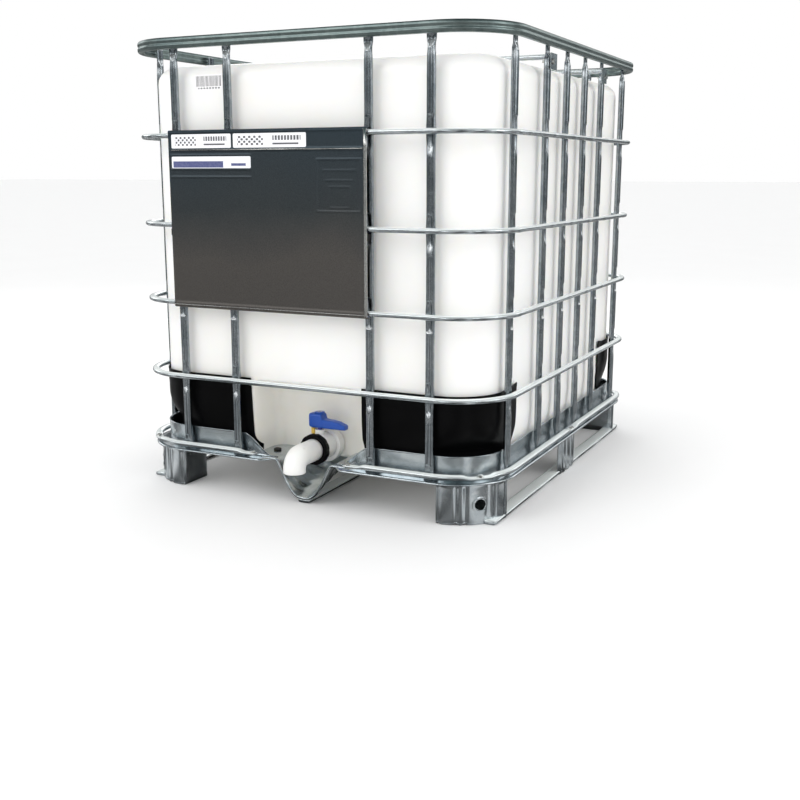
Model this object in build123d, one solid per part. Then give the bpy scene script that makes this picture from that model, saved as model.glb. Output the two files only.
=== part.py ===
from build123d import *
import os
from math import cos, pi, radians, sin, sqrt

# Intermediate bulk container: a blow-moulded bottle in a cage of flattened galvanised tubes,
# on a pressed steel pallet.  Millimetres.  The origin is the centre of the footprint on the
# ground, +X is the right-hand side seen from the valve side, -Y is the valve side, +Z is up.

# ---- driving dimensions -------------------------------------------------------------------
WIDTH = 1000.0                  # outside of the cage along X
DEPTH = 1200.0                  # outside of the cage along Y
CORNER_R = 155.0                # outer corner radius of the cage
WALL = 1.2                      # wall of every tube
RING_DEEP = 18.0                # ring tube, measured into the cage
RING_HIGH = 12.0                # ring tube, measured along Z
RING_Z = {"ring_2": 870.0, "ring_3": 661.0, "ring_4": 474.0, "ring_5": 289.0}
BASE_RING_Z = 115.0
BASE_RING_GAP = 117.0           # half the gap in the base ring in front of the valve
RIM_Z = 1080.0                  # middle of the top rim
RIM_BAND_HIGH = 14.0            # the rim is two rounded bands, one above the other
RIM_BAND_OFFSET = 6.0

UPRIGHT_WIDE = 18.0             # upright tube, along the face of the cage
UPRIGHT_DEEP = 16.0             # upright tube, into the cage
UPRIGHT_TOP = 1086.0
END_UPRIGHTS_X = (-334.0, -184.0, 184.0, 334.0)
SIDE_UPRIGHTS_Y = (-447.0, -230.0, -76.0, 76.0, 230.0, 447.0)

FOOT_HIGH = 98.0
FOOT_INSET_X = 15.0             # outer face of a foot, in from the sides of the cage
FOOT_INSET_Y = 22.0             # the same from the front and the back
FOOT_R = 133.0                  # outer corner radius of a foot
FOOT_WALL = 2.0
FOOT_FLANGE_Z = 12.0            # underside of the flange that rests on the runner
FOOT_FRONT_X = 350.0            # where a corner foot ends along X
FOOT_SIDE_Y = 467.0             # where a corner foot ends along Y
FOOT_HOLE_R = 13.0
FOOT_HOLE_Z = 47.0
MID_FOOT_LONG = 150.0
RUNNER_WIDE = 34.0
RUNNER_HIGH = 11.0

PAN_Z = 100.0                   # underside of the pan
PAN_SHEET = 2.0
PAN_INSET = 3.0
COLLAR_INSET = 38.0
COLLAR_TOP = 155.0
SPOUT_FRONT_Y = -572.0
SPOUT_BACK_Y = -425.0

GUARD_INSET = 40.8
GUARD_WALL = 3.6
GUARD_TOP = 304.0
GUARD_FRONT_X = 151.0           # where a corner guard ends along X
GUARD_SIDE_Y = 350.0            # where a corner guard ends along Y

BOTTLE_INSET = 46.0
BOTTLE_WALL = 4.0
BOTTLE_BASE = PAN_Z + PAN_SHEET
BOTTLE_TOP = 1038.0
BOTTLE_EDGE_R = 38.0
RECESS_HALF = 151.0
RECESS_TOP = 300.0
RECESS_WALL_Y = -440.0
FILL_NECK_R = 76.0
FILL_NECK_TOP = 1054.0

BAR_Y = 206.0                   # cross bars lie just inside uprights 2 and 5
BAR_WIDE = 22.0
BAR_HIGH = 12.0
BAR_Z = 1049.0

VALVE_Z = 121.0
STEM_Y = -490.0
BORE_R = 24.5
BODY_R = 33.0
BODY_FRONT_Y = -517.0
BODY_BACK_Y = -458.0
NUT_FACE_Y = -526.0
NUT_R = 39.5
ELBOW_R = 27.0
ELBOW_END_Y = -613.0            # axis of the downward mouth
ELBOW_BEND_R = 28.0
ELBOW_MOUTH_Z = 86.0
HANDLE_LOW = 170.0
HANDLE_HIGH = 208.0
LEVER_REACH = 75.0

PLATE_LEFT = -338.0
PLATE_RIGHT = 193.0
PLATE_LOW = 467.0
PLATE_HIGH = 878.0
PLATE_BACK_Y = -600.2
PLATE_SHEET = 1.5
PLATE_HEM = 1.2                 # how far the folded edges stand out
CLIP_Z = 644.0
CLIP_HALF = 8.0
STICKER = 0.4
PLATE_FRONT_Y = PLATE_BACK_Y - PLATE_SHEET
LABELS_LOW, LABELS_HIGH = 840.0, 872.0   # the two labels side by side along the top
CARD_LOW, CARD_HIGH = 794.0, 821.0

UPRIGHT_INSET = RING_DEEP + UPRIGHT_DEEP / 2
SIDE_UPRIGHT_GAP = 0.6          # keeps the outermost side uprights clear of the ring corners

SCREW_Z = 1036.0                # screws through the cross bar ends
SCREW_R = 3.0
SCREW_HOLE_R = 3.2
SCREW_YS = (-230.0, 230.0)
TAB_X = WIDTH / 2 - RING_DEEP + 0.2     # inner face of the flattened end
TAB_SHEET = 3.0
TAB_DROP = 31.0                 # from the bar's axis down to the tab's lower edge

BOLT_R = 4.0                    # bolts down through the base ring
BOLT_HOLE_R = 4.2
RING_MID = RING_DEEP / 2
CORNER_BOLT = (CORNER_R - RING_MID) * sqrt(0.5)
BOLT_X = WIDTH / 2 - CORNER_R + CORNER_BOLT
BOLT_Y = DEPTH / 2 - CORNER_R + CORNER_BOLT
END_BOLT_X = 130.0
BASE_BOLTS = [(BOLT_X, -BOLT_Y), (BOLT_X, BOLT_Y), (-BOLT_X, BOLT_Y), (-BOLT_X, -BOLT_Y),
              (WIDTH / 2 - RING_MID, 0.0), (-WIDTH / 2 + RING_MID, 0.0),
              (-END_BOLT_X, -DEPTH / 2 + RING_MID), (END_BOLT_X, -DEPTH / 2 + RING_MID)]

PAN_PLUG = (-118.0, -500.0)
PLUG_R = 6.0
FOOT_ARC_X = WIDTH / 2 - FOOT_INSET_X - FOOT_R
FOOT_ARC_Y = DEPTH / 2 - FOOT_INSET_Y - FOOT_R
SIDE_RUNNER_X = WIDTH / 2 - FOOT_INSET_X - FOOT_WALL - 1 - RUNNER_WIDE / 2
RUNNER_END_Y = 590.0
CENTRE_FOOT_HALF = 58.0

CAP_R = 86.0
CAP_LOW = 1042.0
CAP_ROOF = 1058.0               # underside of the cap, where the gasket sits
CAP_HIGH = 1064.0
CAP_RIBS = 24
BOSS_HIGH = 4.0                 # boss round the vent plug
VENT_R = 28.0

STEM_R = 6.0
PIN_R = 1.5
FIT = 0.02                      # running clearance on a radius
TOWER_TOP = 166.0
DISC_R = 24.3
LINER_R = 27.0
LINER_HALF = 11.0
OUTLET_R = 36.0                 # outlet neck of the bottle and flange of the valve
COUPLING_R = 43.0
SEAL_LOW = 152.0                # seal ring on the stem
SEAL_TALL = 2.6
SEAL_INNER_R = 4.5


# ---- shared shapes ------------------------------------------------------------------------
def outline(inset):
    """Rounded rectangle that follows the outside of the cage, moved in by inset."""
    return RectangleRounded(WIDTH - 2 * inset, DEPTH - 2 * inset, CORNER_R - inset)


def band(inset, thickness, low, high):
    """Upright wall that runs right round the cage."""
    return slab(inset, low, high) - slab(inset + thickness, low, high)


def slab(inset, low, high):
    return Pos(0, 0, low) * extrude(outline(inset), high - low)


def block(x_low, x_high, y_low, y_high, z_low, z_high):
    centre = ((x_low + x_high) / 2, (y_low + y_high) / 2, (z_low + z_high) / 2)
    return Pos(*centre) * Box(x_high - x_low, y_high - y_low, z_high - z_low)


def rod_y(radius, y_low, y_high, x=0.0, z=VALVE_Z):
    """Cylinder along Y."""
    return Pos(x, (y_low + y_high) / 2, z) * Rot(90, 0, 0) * Cylinder(radius, y_high - y_low)


def rod_z(radius, low, high, x=0.0, y=0.0):
    return Pos(x, y, (low + high) / 2) * Cylinder(radius, high - low)


def rod_x(radius, x_low, x_high, y, z):
    return Pos((x_low + x_high) / 2, y, z) * Rot(0, 90, 0) * Cylinder(radius, x_high - x_low)


def ring_y(outer, inner, y_low, y_high):
    return rod_y(outer, y_low, y_high) - rod_y(inner, y_low - 1, y_high + 1)


def group(solids):
    return Compound([solid.solid() for solid in solids])


def at_corners(solid):
    """The same piece at the front right, rear right, rear left and front left corners."""
    right = [solid, mirror(solid, about=Plane.XZ)]
    return right + [mirror(piece, about=Plane.YZ) for piece in reversed(right)]


# ---- cage ---------------------------------------------------------------------------------
def tube_section(at, sketch_outer, sketch_inner):
    return at * (sketch_outer - sketch_inner)


def ring_sketch(shrink):
    return SlotOverall(RING_DEEP - 2 * shrink, RING_HIGH - 2 * shrink)


def cage_ring(z):
    """Flattened tube bent into a closed loop."""
    start = Plane(origin=(WIDTH / 2 - RING_DEEP / 2, 0, z), x_dir=(1, 0, 0), z_dir=(0, 1, 0))
    path = loop_from_side(RING_DEEP / 2, z)
    return sweep(tube_section(start, ring_sketch(0), ring_sketch(WALL)), path)


def loop_from_side(inset, z):
    """Closed rounded rectangle at height z that starts in the middle of the right-hand side."""
    x = WIDTH / 2 - inset
    y = DEPTH / 2 - inset
    r = CORNER_R - inset
    line = [Line((x, 0, z), (x, y - r, z))]
    line += [quarter_arc(x - r, y - r, r, 0, z), Line((x - r, y, z), (r - x, y, z))]
    line += [quarter_arc(r - x, y - r, r, 90, z), Line((-x, y - r, z), (-x, r - y, z))]
    line += [quarter_arc(r - x, r - y, r, 180, z), Line((r - x, -y, z), (x - r, -y, z))]
    line += [quarter_arc(x - r, r - y, r, 270, z), Line((x, r - y, z), (x, 0, z))]
    return Wire(line)


def quarter_arc(x, y, r, start, z):
    """Quarter circle about x, y that turns anticlockwise from the start angle in degrees."""
    turns = [radians(start + step) for step in (0, 45, 90)]
    return ThreePointArc(*[(x + r * cos(turn), y + r * sin(turn), z) for turn in turns])


def top_rim():
    """Two rounded bands rolled into one hollow rim."""
    start = Plane(origin=(WIDTH / 2 - RING_DEEP / 2, 0, RIM_Z), x_dir=(1, 0, 0), z_dir=(0, 1, 0))
    outer = rim_sketch(0)
    inner = rim_sketch(WALL)
    return sweep(tube_section(start, outer, inner), loop_from_side(RING_DEEP / 2, RIM_Z))


def rim_sketch(shrink):
    one_band = SlotOverall(RING_DEEP - 2 * shrink, RIM_BAND_HIGH - 2 * shrink)
    return Pos(0, RIM_BAND_OFFSET) * one_band + Pos(0, -RIM_BAND_OFFSET) * one_band


def base_ring():
    """Ring on the pan, open in front of the valve."""
    gap = block(-BASE_RING_GAP, BASE_RING_GAP, -DEPTH / 2 - 1, -DEPTH / 2 + 60,
                BASE_RING_Z - RING_HIGH, BASE_RING_Z + RING_HIGH)
    holes = [rod_z(BOLT_HOLE_R, PAN_Z, BASE_RING_Z + RING_HIGH, x, y) for x, y in BASE_BOLTS]
    return cage_ring(BASE_RING_Z) - gap - holes


def upright(x, y, along_x):
    wide, deep = (UPRIGHT_WIDE, UPRIGHT_DEEP) if along_x else (UPRIGHT_DEEP, UPRIGHT_WIDE)
    outer = RectangleRounded(wide, deep, 6)
    inner = RectangleRounded(wide - 2 * WALL, deep - 2 * WALL, 6 - WALL)
    tube = extrude(outer - inner, UPRIGHT_TOP - BOTTLE_BASE)
    return Pos(x, y, BOTTLE_BASE) * tube


def end_uprights(side):
    y = side * (DEPTH / 2 - UPRIGHT_INSET)
    return group([upright(x, y, True) for x in END_UPRIGHTS_X])


def side_uprights(side):
    x = side * (WIDTH / 2 - UPRIGHT_INSET - SIDE_UPRIGHT_GAP)
    tubes = [upright(x, y, False) for y in SIDE_UPRIGHTS_Y]
    screw_holes = [rod_x(SCREW_HOLE_R, -WIDTH / 2, WIDTH / 2, y, SCREW_Z) for y in SCREW_YS]
    return group([tube - screw_holes for tube in tubes])


# ---- cross bars over the bottle -----------------------------------------------------------
def cross_bar(side):
    """Flattened tube with ends that turn down outside an upright on each side."""
    y = side * BAR_Y
    outer = SlotOverall(BAR_WIDE, BAR_HIGH)
    inner = SlotOverall(BAR_WIDE - 2 * WALL, BAR_HIGH - 2 * WALL)
    start = Plane(origin=(-TAB_X, y, BAR_Z), x_dir=(0, 1, 0), z_dir=(1, 0, 0))
    bar = extrude(start * (outer - inner), 2 * TAB_X)
    y_out = side * (SCREW_YS[1] + UPRIGHT_WIDE / 2)
    y_in = side * (BAR_Y - BAR_WIDE / 2)
    low, high = sorted((y_in, y_out))
    for end in (-1, 1):
        x_low, x_high = sorted((end * TAB_X, end * (TAB_X + TAB_SHEET)))
        tab = block(x_low, x_high, low, high, BAR_Z - TAB_DROP, BAR_Z + BAR_HIGH / 2)
        hole = rod_x(SCREW_HOLE_R, x_low - 1, x_high + 1, side * SCREW_YS[1], SCREW_Z)
        bar = bar + (tab - hole)
    return bar


def cross_bar_screw(side, y):
    """Hexagon-head screw through the tab and the upright."""
    head = extrude(RegularPolygon(6.5, 6), 4)
    shank = Pos(0, 0, -24) * extrude(Circle(SCREW_R), 24)
    screw = head + shank
    place = Plane(origin=(side * (TAB_X + TAB_SHEET), y, SCREW_Z), z_dir=(side, 0, 0))
    return place * screw


# ---- label plate --------------------------------------------------------------------------
def label_plate():
    """Folded sheet that hooks over ring 2 and under ring 4, with hemmed sides."""
    front_y = PLATE_FRONT_Y
    sheet = block(PLATE_LEFT, PLATE_RIGHT, front_y, PLATE_BACK_Y, PLATE_LOW, PLATE_HIGH)
    hook_back = -DEPTH / 2 + RING_DEEP - 1
    top_hook = block(PLATE_LEFT, PLATE_RIGHT, front_y, hook_back, PLATE_HIGH, PLATE_HIGH + 1.5)
    low_hook = block(PLATE_LEFT, PLATE_RIGHT, front_y, hook_back, PLATE_LOW - 1.5, PLATE_LOW)
    plate = sheet + top_hook + low_hook
    hem_y = front_y - PLATE_HEM
    for x in (PLATE_LEFT, PLATE_RIGHT - 6):
        plate = plate + block(x, x + 6, hem_y, front_y, PLATE_LOW, PLATE_HIGH)
    return plate + block(PLATE_LEFT, PLATE_RIGHT, hem_y, front_y, PLATE_LOW, PLATE_LOW + 8)


def plate_clip(x):
    """Plastic clip between the plate and an upright, just under ring 3."""
    low, high = CLIP_Z - CLIP_HALF, CLIP_Z + CLIP_HALF
    return block(x - CLIP_HALF, x + CLIP_HALF, PLATE_BACK_Y, -DEPTH / 2 + RING_DEEP, low, high)


def sticker(x_low, x_high, z_low, z_high, back_y):
    return block(x_low, x_high, back_y - STICKER, back_y, z_low, z_high)


# ---- pallet -------------------------------------------------------------------------------
def base_bolt(x, y):
    head = Pos(0, 0, BASE_RING_Z + RING_HIGH / 2) * extrude(RegularPolygon(7, 6), 4)
    return Pos(x, y, 0) * (head + rod_z(BOLT_R, PAN_Z - PAN_SHEET, BASE_RING_Z + RING_HIGH / 2))


def spout_section(y, half_wide, bottom_z, bottom_r, shrink):
    """V with a round bottom that is open at the level of the pan floor."""
    top_z = PAN_Z + PAN_SHEET
    r = bottom_r - shrink
    with BuildSketch(Plane(origin=(0, y, 0), x_dir=(1, 0, 0), z_dir=(0, -1, 0))) as sketch:
        with BuildLine():
            arc_z = bottom_z + bottom_r
            floor_z = bottom_z + shrink
            wide = half_wide - shrink
            Polyline((-r, arc_z), (-wide, top_z), (wide, top_z), (r, arc_z))
            ThreePointArc((r, arc_z), (0, floor_z), (-r, arc_z))
        make_face()
    return sketch.sketch


def spout(shrink, front_extra):
    front = spout_section(SPOUT_FRONT_Y - front_extra, 78, 11.5, 27, shrink)
    back = spout_section(SPOUT_BACK_Y - shrink, 70, 56, 42, shrink)
    return loft([front, back], ruled=True)


def base_pan():
    """Pressed pan: a floor with a collar round the bottle and a drip spout under the valve."""
    floor = slab(PAN_INSET, PAN_Z, PAN_Z + PAN_SHEET)
    collar = band(COLLAR_INSET, PAN_SHEET, PAN_Z, COLLAR_TOP)
    opening = block(-84, 84, -DEPTH / 2, -DEPTH / 2 + 80, PAN_Z + PAN_SHEET, COLLAR_TOP + 1)
    front_notch = block(-84, 84, -DEPTH / 2, SPOUT_FRONT_Y, PAN_Z, PAN_Z + PAN_SHEET)
    pan = (floor - front_notch) + (collar - opening) + spout(0, 0)
    pan = pan - spout(PAN_SHEET, 1)
    holes = [rod_z(BOLT_HOLE_R, PAN_Z - 5, PAN_Z + 5, x, y) for x, y in BASE_BOLTS]
    plug_hole = rod_z(PLUG_R + 0.2, PAN_Z - 5, PAN_Z + 5, *PAN_PLUG)
    return pan - holes - plug_hole


def pan_plug():
    """Rubber plug in the drain hole beside the spout."""
    head = rod_z(10, PAN_Z + PAN_SHEET, PAN_Z + PAN_SHEET + 6, *PAN_PLUG)
    return head + rod_z(PLUG_R, PAN_Z - 3, PAN_Z + PAN_SHEET, *PAN_PLUG)


def foot_loop(grow, thickness, low, high):
    """Wall on the line of the feet, moved out by grow, before it is cut into feet."""
    wide = WIDTH - 2 * FOOT_INSET_X + 2 * grow
    deep = DEPTH - 2 * FOOT_INSET_Y + 2 * grow
    outer = RectangleRounded(wide, deep, FOOT_R + grow)
    inner = RectangleRounded(wide - 2 * thickness, deep - 2 * thickness, FOOT_R + grow - thickness)
    return Pos(0, 0, low) * extrude(outer - inner, high - low)


def foot_wall_and_flanges():
    wall = foot_loop(0, FOOT_WALL, 0, FOOT_HIGH)
    top = foot_loop(11, 56, FOOT_HIGH, PAN_Z)
    low = foot_loop(-FOOT_WALL, 44, FOOT_FLANGE_Z, FOOT_FLANGE_Z + FOOT_WALL)
    return wall + top + low


def corner_foot():
    """Front right foot: a sheet wall round the corner, with a flange above and one below."""
    zone = block(FOOT_FRONT_X, WIDTH / 2, -DEPTH / 2, -FOOT_SIDE_Y, 0, PAN_Z)
    foot = foot_wall_and_flanges() & zone
    centre = Pos(FOOT_ARC_X, -FOOT_ARC_Y, FOOT_HOLE_Z)
    hole = centre * Rot(0, 0, -45) * Pos(FOOT_R, 0, 0) * Rot(0, 90, 0) * Cylinder(FOOT_HOLE_R, 80)
    bolt = rod_z(BOLT_HOLE_R, FOOT_HIGH - 1, PAN_Z + 1, BOLT_X, -BOLT_Y)
    return foot - hole - bolt


def mid_foot():
    """Foot in the middle of the right-hand side, with a return wall at each end."""
    half = MID_FOOT_LONG / 2
    zone = block(0, WIDTH / 2, -half, half, 0, PAN_Z)
    foot = foot_wall_and_flanges() & zone
    x_in = WIDTH / 2 - FOOT_INSET_X - 46
    x_out = WIDTH / 2 - FOOT_INSET_X - FOOT_WALL
    for y in (-half, half - FOOT_WALL):
        foot = foot + block(x_in, x_out, y, y + FOOT_WALL, FOOT_FLANGE_Z, FOOT_HIGH)
    return foot - rod_z(BOLT_HOLE_R, FOOT_HIGH - 1, PAN_Z + 1, WIDTH / 2 - RING_MID, 0)


def centre_foot(y_low, y_high):
    """Box foot under the middle of the pan, open above and standing on the centre runner."""
    foot = block(-CENTRE_FOOT_HALF, CENTRE_FOOT_HALF, y_low, y_high, RUNNER_HIGH, PAN_Z)
    inside = CENTRE_FOOT_HALF - FOOT_WALL
    return foot - block(-inside, inside, y_low + FOOT_WALL, y_high - FOOT_WALL,
                        RUNNER_HIGH + FOOT_WALL, PAN_Z + 1)


def runner(x):
    """Flat tube on the ground that ties the feet of one row together."""
    half = RUNNER_WIDE / 2
    inside = half - FOOT_WALL
    end = RUNNER_END_Y
    outer = block(x - half, x + half, -end, end, 0, RUNNER_HIGH)
    inner = block(x - inside, x + inside, -end, end, FOOT_WALL, RUNNER_HIGH - FOOT_WALL)
    clear = FOOT_WALL + 0.5
    wide = WIDTH - 2 * (FOOT_INSET_X + clear)
    deep = DEPTH - 2 * (FOOT_INSET_Y + clear)
    zone = extrude(RectangleRounded(wide, deep, FOOT_R - clear), RUNNER_HIGH)
    return (outer - inner) & zone


# ---- corner guards ------------------------------------------------------------------------
def corner_guard():
    """Front right plastic guard between the bottle and the cage."""
    zone = block(GUARD_FRONT_X, WIDTH / 2, -DEPTH / 2, -GUARD_SIDE_Y, BOTTLE_BASE, GUARD_TOP)
    return band(GUARD_INSET, GUARD_WALL, BOTTLE_BASE, GUARD_TOP) & zone


# ---- bottle -------------------------------------------------------------------------------
def bottle_form(shrink):
    """Body of the bottle with the valve recess, moved in by shrink."""
    low = BOTTLE_BASE + shrink
    high = BOTTLE_TOP - shrink
    body = slab(BOTTLE_INSET + shrink, low, high)
    ends = body.edges().filter_by_position(Axis.Z, low, low) \
        + body.edges().filter_by_position(Axis.Z, high, high)
    body = fillet(ends, BOTTLE_EDGE_R - shrink)
    recess = block(-RECESS_HALF - shrink, RECESS_HALF + shrink, -DEPTH / 2,
                   RECESS_WALL_Y + shrink, 0, RECESS_TOP + shrink)
    return body - recess


def bottle():
    shell = bottle_form(0) - bottle_form(BOTTLE_WALL)
    neck = rod_z(FILL_NECK_R, BOTTLE_TOP - 1, FILL_NECK_TOP)
    outlet = rod_y(OUTLET_R, BODY_BACK_Y + 3, RECESS_WALL_Y + 1)
    shell = shell + neck + outlet
    shell = shell - rod_z(FILL_NECK_R - 4, BOTTLE_TOP - 10, FILL_NECK_TOP + 1)
    return shell - rod_y(BORE_R, BODY_BACK_Y, RECESS_WALL_Y + 10)


# ---- fill opening -------------------------------------------------------------------------
def cap_gasket():
    ring = rod_z(FILL_NECK_R - 0.2, FILL_NECK_TOP, CAP_ROOF)
    return ring - rod_z(FILL_NECK_R - 6, FILL_NECK_TOP - 1, CAP_ROOF + 1)


def fill_cap():
    """Screw cap with grip ribs round its skirt and a threaded hole for the vent plug."""
    cap = rod_z(CAP_R, CAP_LOW, CAP_HIGH) - rod_z(FILL_NECK_R + 0.3, CAP_LOW - 1, CAP_ROOF)
    for index in range(CAP_RIBS):
        angle = 2 * pi * index / CAP_RIBS
        cap = cap + rod_z(3, CAP_LOW, CAP_HIGH - 3, CAP_R * cos(angle), CAP_R * sin(angle))
    boss = rod_z(VENT_R + 5, CAP_HIGH - 1, CAP_HIGH + BOSS_HIGH)
    return cap + boss - rod_z(VENT_R + 0.2, CAP_ROOF - 1, CAP_HIGH + 5)


def vent_gasket():
    low = CAP_HIGH + BOSS_HIGH
    return rod_z(VENT_R + 4, low, low + 1.5) - rod_z(VENT_R, low - 1, low + 3)


def vent_plug():
    """Plug with a flange, a hollow shank and a bar to turn it by."""
    low = CAP_HIGH + BOSS_HIGH + 1.5
    plug = rod_z(VENT_R + 4.5, low, low + 3) + rod_z(VENT_R - 0.2, CAP_ROOF + 1, low)
    plug = plug - rod_z(VENT_R - 4, CAP_ROOF, low - 1)
    return plug + block(-22, 22, -3, 3, low + 3, low + 10)


# ---- valve --------------------------------------------------------------------------------
def valve_gasket():
    return ring_y(35.5, BORE_R + 0.5, BODY_BACK_Y, BODY_BACK_Y + 3)


def valve_body():
    """Plastic butterfly valve body with a stem tower and a threaded outlet."""
    body = rod_y(BODY_R, BODY_FRONT_Y, BODY_BACK_Y)
    body = body + rod_y(OUTLET_R, BODY_BACK_Y - 5, BODY_BACK_Y)
    body = body + rod_z(12, VALVE_Z + 20, TOWER_TOP, 0, STEM_Y)
    body = body - rod_y(BORE_R, BODY_FRONT_Y - 1, BODY_BACK_Y + 1)
    body = body - rod_y(LINER_R + FIT, STEM_Y - LINER_HALF, STEM_Y + LINER_HALF)
    return body - rod_z(STEM_R + 0.05, VALVE_Z - 29.5, TOWER_TOP + 1, 0, STEM_Y)


def valve_coupling_ring():
    """Black ring nut that clamps the valve to the outlet neck of the bottle."""
    front = BODY_BACK_Y - 9
    ring = ring_y(COUPLING_R, OUTLET_R + 0.3, front, RECESS_WALL_Y - 3)
    return ring + ring_y(COUPLING_R, BODY_R + 0.3, front, BODY_BACK_Y - 5.2)


def seat_liner():
    """Rubber liner that the disc closes on, with holes for the stem."""
    liner = ring_y(LINER_R, BORE_R, STEM_Y - LINER_HALF, STEM_Y + LINER_HALF)
    return liner - rod_z(STEM_R + 0.3, VALVE_Z - 40, VALVE_Z + 40, 0, STEM_Y)


def valve_disc():
    """Butterfly disc with a boss round the stem; its edge is part of a sphere."""
    disc = rod_y(DISC_R, STEM_Y - 2.5, STEM_Y + 2.5)
    boss = rod_z(9, VALVE_Z - DISC_R, VALVE_Z + DISC_R, 0, STEM_Y)
    ball = Pos(0, STEM_Y, VALVE_Z) * Sphere(DISC_R)
    disc = (disc + boss) & ball
    disc = disc - rod_z(STEM_R + FIT, 0, HANDLE_HIGH, 0, STEM_Y)
    return disc - rod_y(PIN_R + FIT, STEM_Y - 20, STEM_Y + 20)


def valve_stem():
    """Stem from the pocket below the disc up into the handle, with a seal groove."""
    stem = rod_z(STEM_R, VALVE_Z - 29, HANDLE_LOW + 26, 0, STEM_Y)
    groove = rod_z(STEM_R + 1, SEAL_LOW - 0.1, SEAL_LOW + SEAL_TALL + 0.1, 0, STEM_Y)
    groove = groove - rod_z(SEAL_INNER_R, SEAL_LOW - 1, SEAL_LOW + 4, 0, STEM_Y)
    stem = stem - groove
    return stem - rod_y(PIN_R + FIT, STEM_Y - 20, STEM_Y + 20)


def stem_seal():
    ring = rod_z(STEM_R, SEAL_LOW, SEAL_LOW + SEAL_TALL, 0, STEM_Y)
    return ring - rod_z(SEAL_INNER_R + FIT, SEAL_LOW - 1, SEAL_LOW + 4, 0, STEM_Y)


def disc_pin():
    return rod_y(PIN_R, STEM_Y - 8.5, STEM_Y + 8.5)


def valve_handle():
    """Hub over the stem with a lever that tapers towards its tip."""
    hub = Pos(-6, STEM_Y, (HANDLE_LOW + HANDLE_HIGH) / 2) * Box(42, 34, HANDLE_HIGH - HANDLE_LOW)
    hub = fillet(hub.edges().filter_by(Axis.Z), 12)
    with BuildPart() as lever:
        with BuildSketch(Plane(origin=(10, STEM_Y, 186), x_dir=(0, 1, 0), z_dir=(1, 0, 0))):
            RectangleRounded(26, 22, 5)
        with BuildSketch(Plane(origin=(LEVER_REACH, STEM_Y, 181), x_dir=(0, 1, 0), z_dir=(1, 0, 0))):
            RectangleRounded(18, 9, 3)
        loft()
    handle = hub + lever.part
    handle = handle - rod_z(STEM_R + FIT, HANDLE_LOW - 1, HANDLE_LOW + 26, 0, STEM_Y)
    return handle - rod_z(2.6, HANDLE_LOW + 20, HANDLE_HIGH + 1, 0, STEM_Y)


def handle_screw():
    top = HANDLE_HIGH
    return rod_z(5, top, top + 2.5, 0, STEM_Y) + rod_z(2.5, HANDLE_LOW + 26.5, top, 0, STEM_Y)


def seal_clip():
    """Tamper clip on the stem tower, under the hub."""
    return block(-22, -12.3, STEM_Y - 6, STEM_Y + 6, VALVE_Z + BODY_R, HANDLE_LOW - 1)


def union_nut():
    """Nut with grip lugs that holds the elbow on the valve outlet."""
    back = NUT_FACE_Y + 17
    nut = ring_y(NUT_R - 1.5, BODY_R + 0.3, NUT_FACE_Y + 3.6, back)
    nut = nut + ring_y(NUT_R - 1.5, ELBOW_R + 0.5, NUT_FACE_Y, NUT_FACE_Y + 3.6)
    for index in range(12):
        angle = 2 * pi * (index + 0.5) / 12
        x = (NUT_R - 2.5) * cos(angle)
        z = VALVE_Z + (NUT_R - 2.5) * sin(angle)
        nut = nut + rod_y(2.5, NUT_FACE_Y + 1, back, x, z)
    return nut


def elbow_gasket():
    return ring_y(32.5, BORE_R + 0.5, BODY_FRONT_Y - 2, BODY_FRONT_Y)


def outlet_elbow():
    """Elbow that leaves the valve along -Y and turns down to a plain spigot."""
    flange_y = BODY_FRONT_Y - 2
    bend_y = ELBOW_END_Y + ELBOW_BEND_R
    half = sin(radians(45))
    arc_mid = (0, bend_y - ELBOW_BEND_R * half, VALVE_Z - ELBOW_BEND_R * (1 - half))
    path = Wire([
        Line((0, flange_y, VALVE_Z), (0, bend_y, VALVE_Z)),
        ThreePointArc((0, bend_y, VALVE_Z), arc_mid, (0, ELBOW_END_Y, VALVE_Z - ELBOW_BEND_R)),
        Line((0, ELBOW_END_Y, VALVE_Z - ELBOW_BEND_R), (0, ELBOW_END_Y, ELBOW_MOUTH_Z)),
    ])
    start = Plane(origin=(0, flange_y, VALVE_Z), x_dir=(1, 0, 0), z_dir=(0, -1, 0))
    tube = sweep(start * (Circle(ELBOW_R) - Circle(ELBOW_R - 3.5)), path)
    return tube + ring_y(BODY_R, ELBOW_R - 3.5, flange_y - 3, flange_y)


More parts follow.
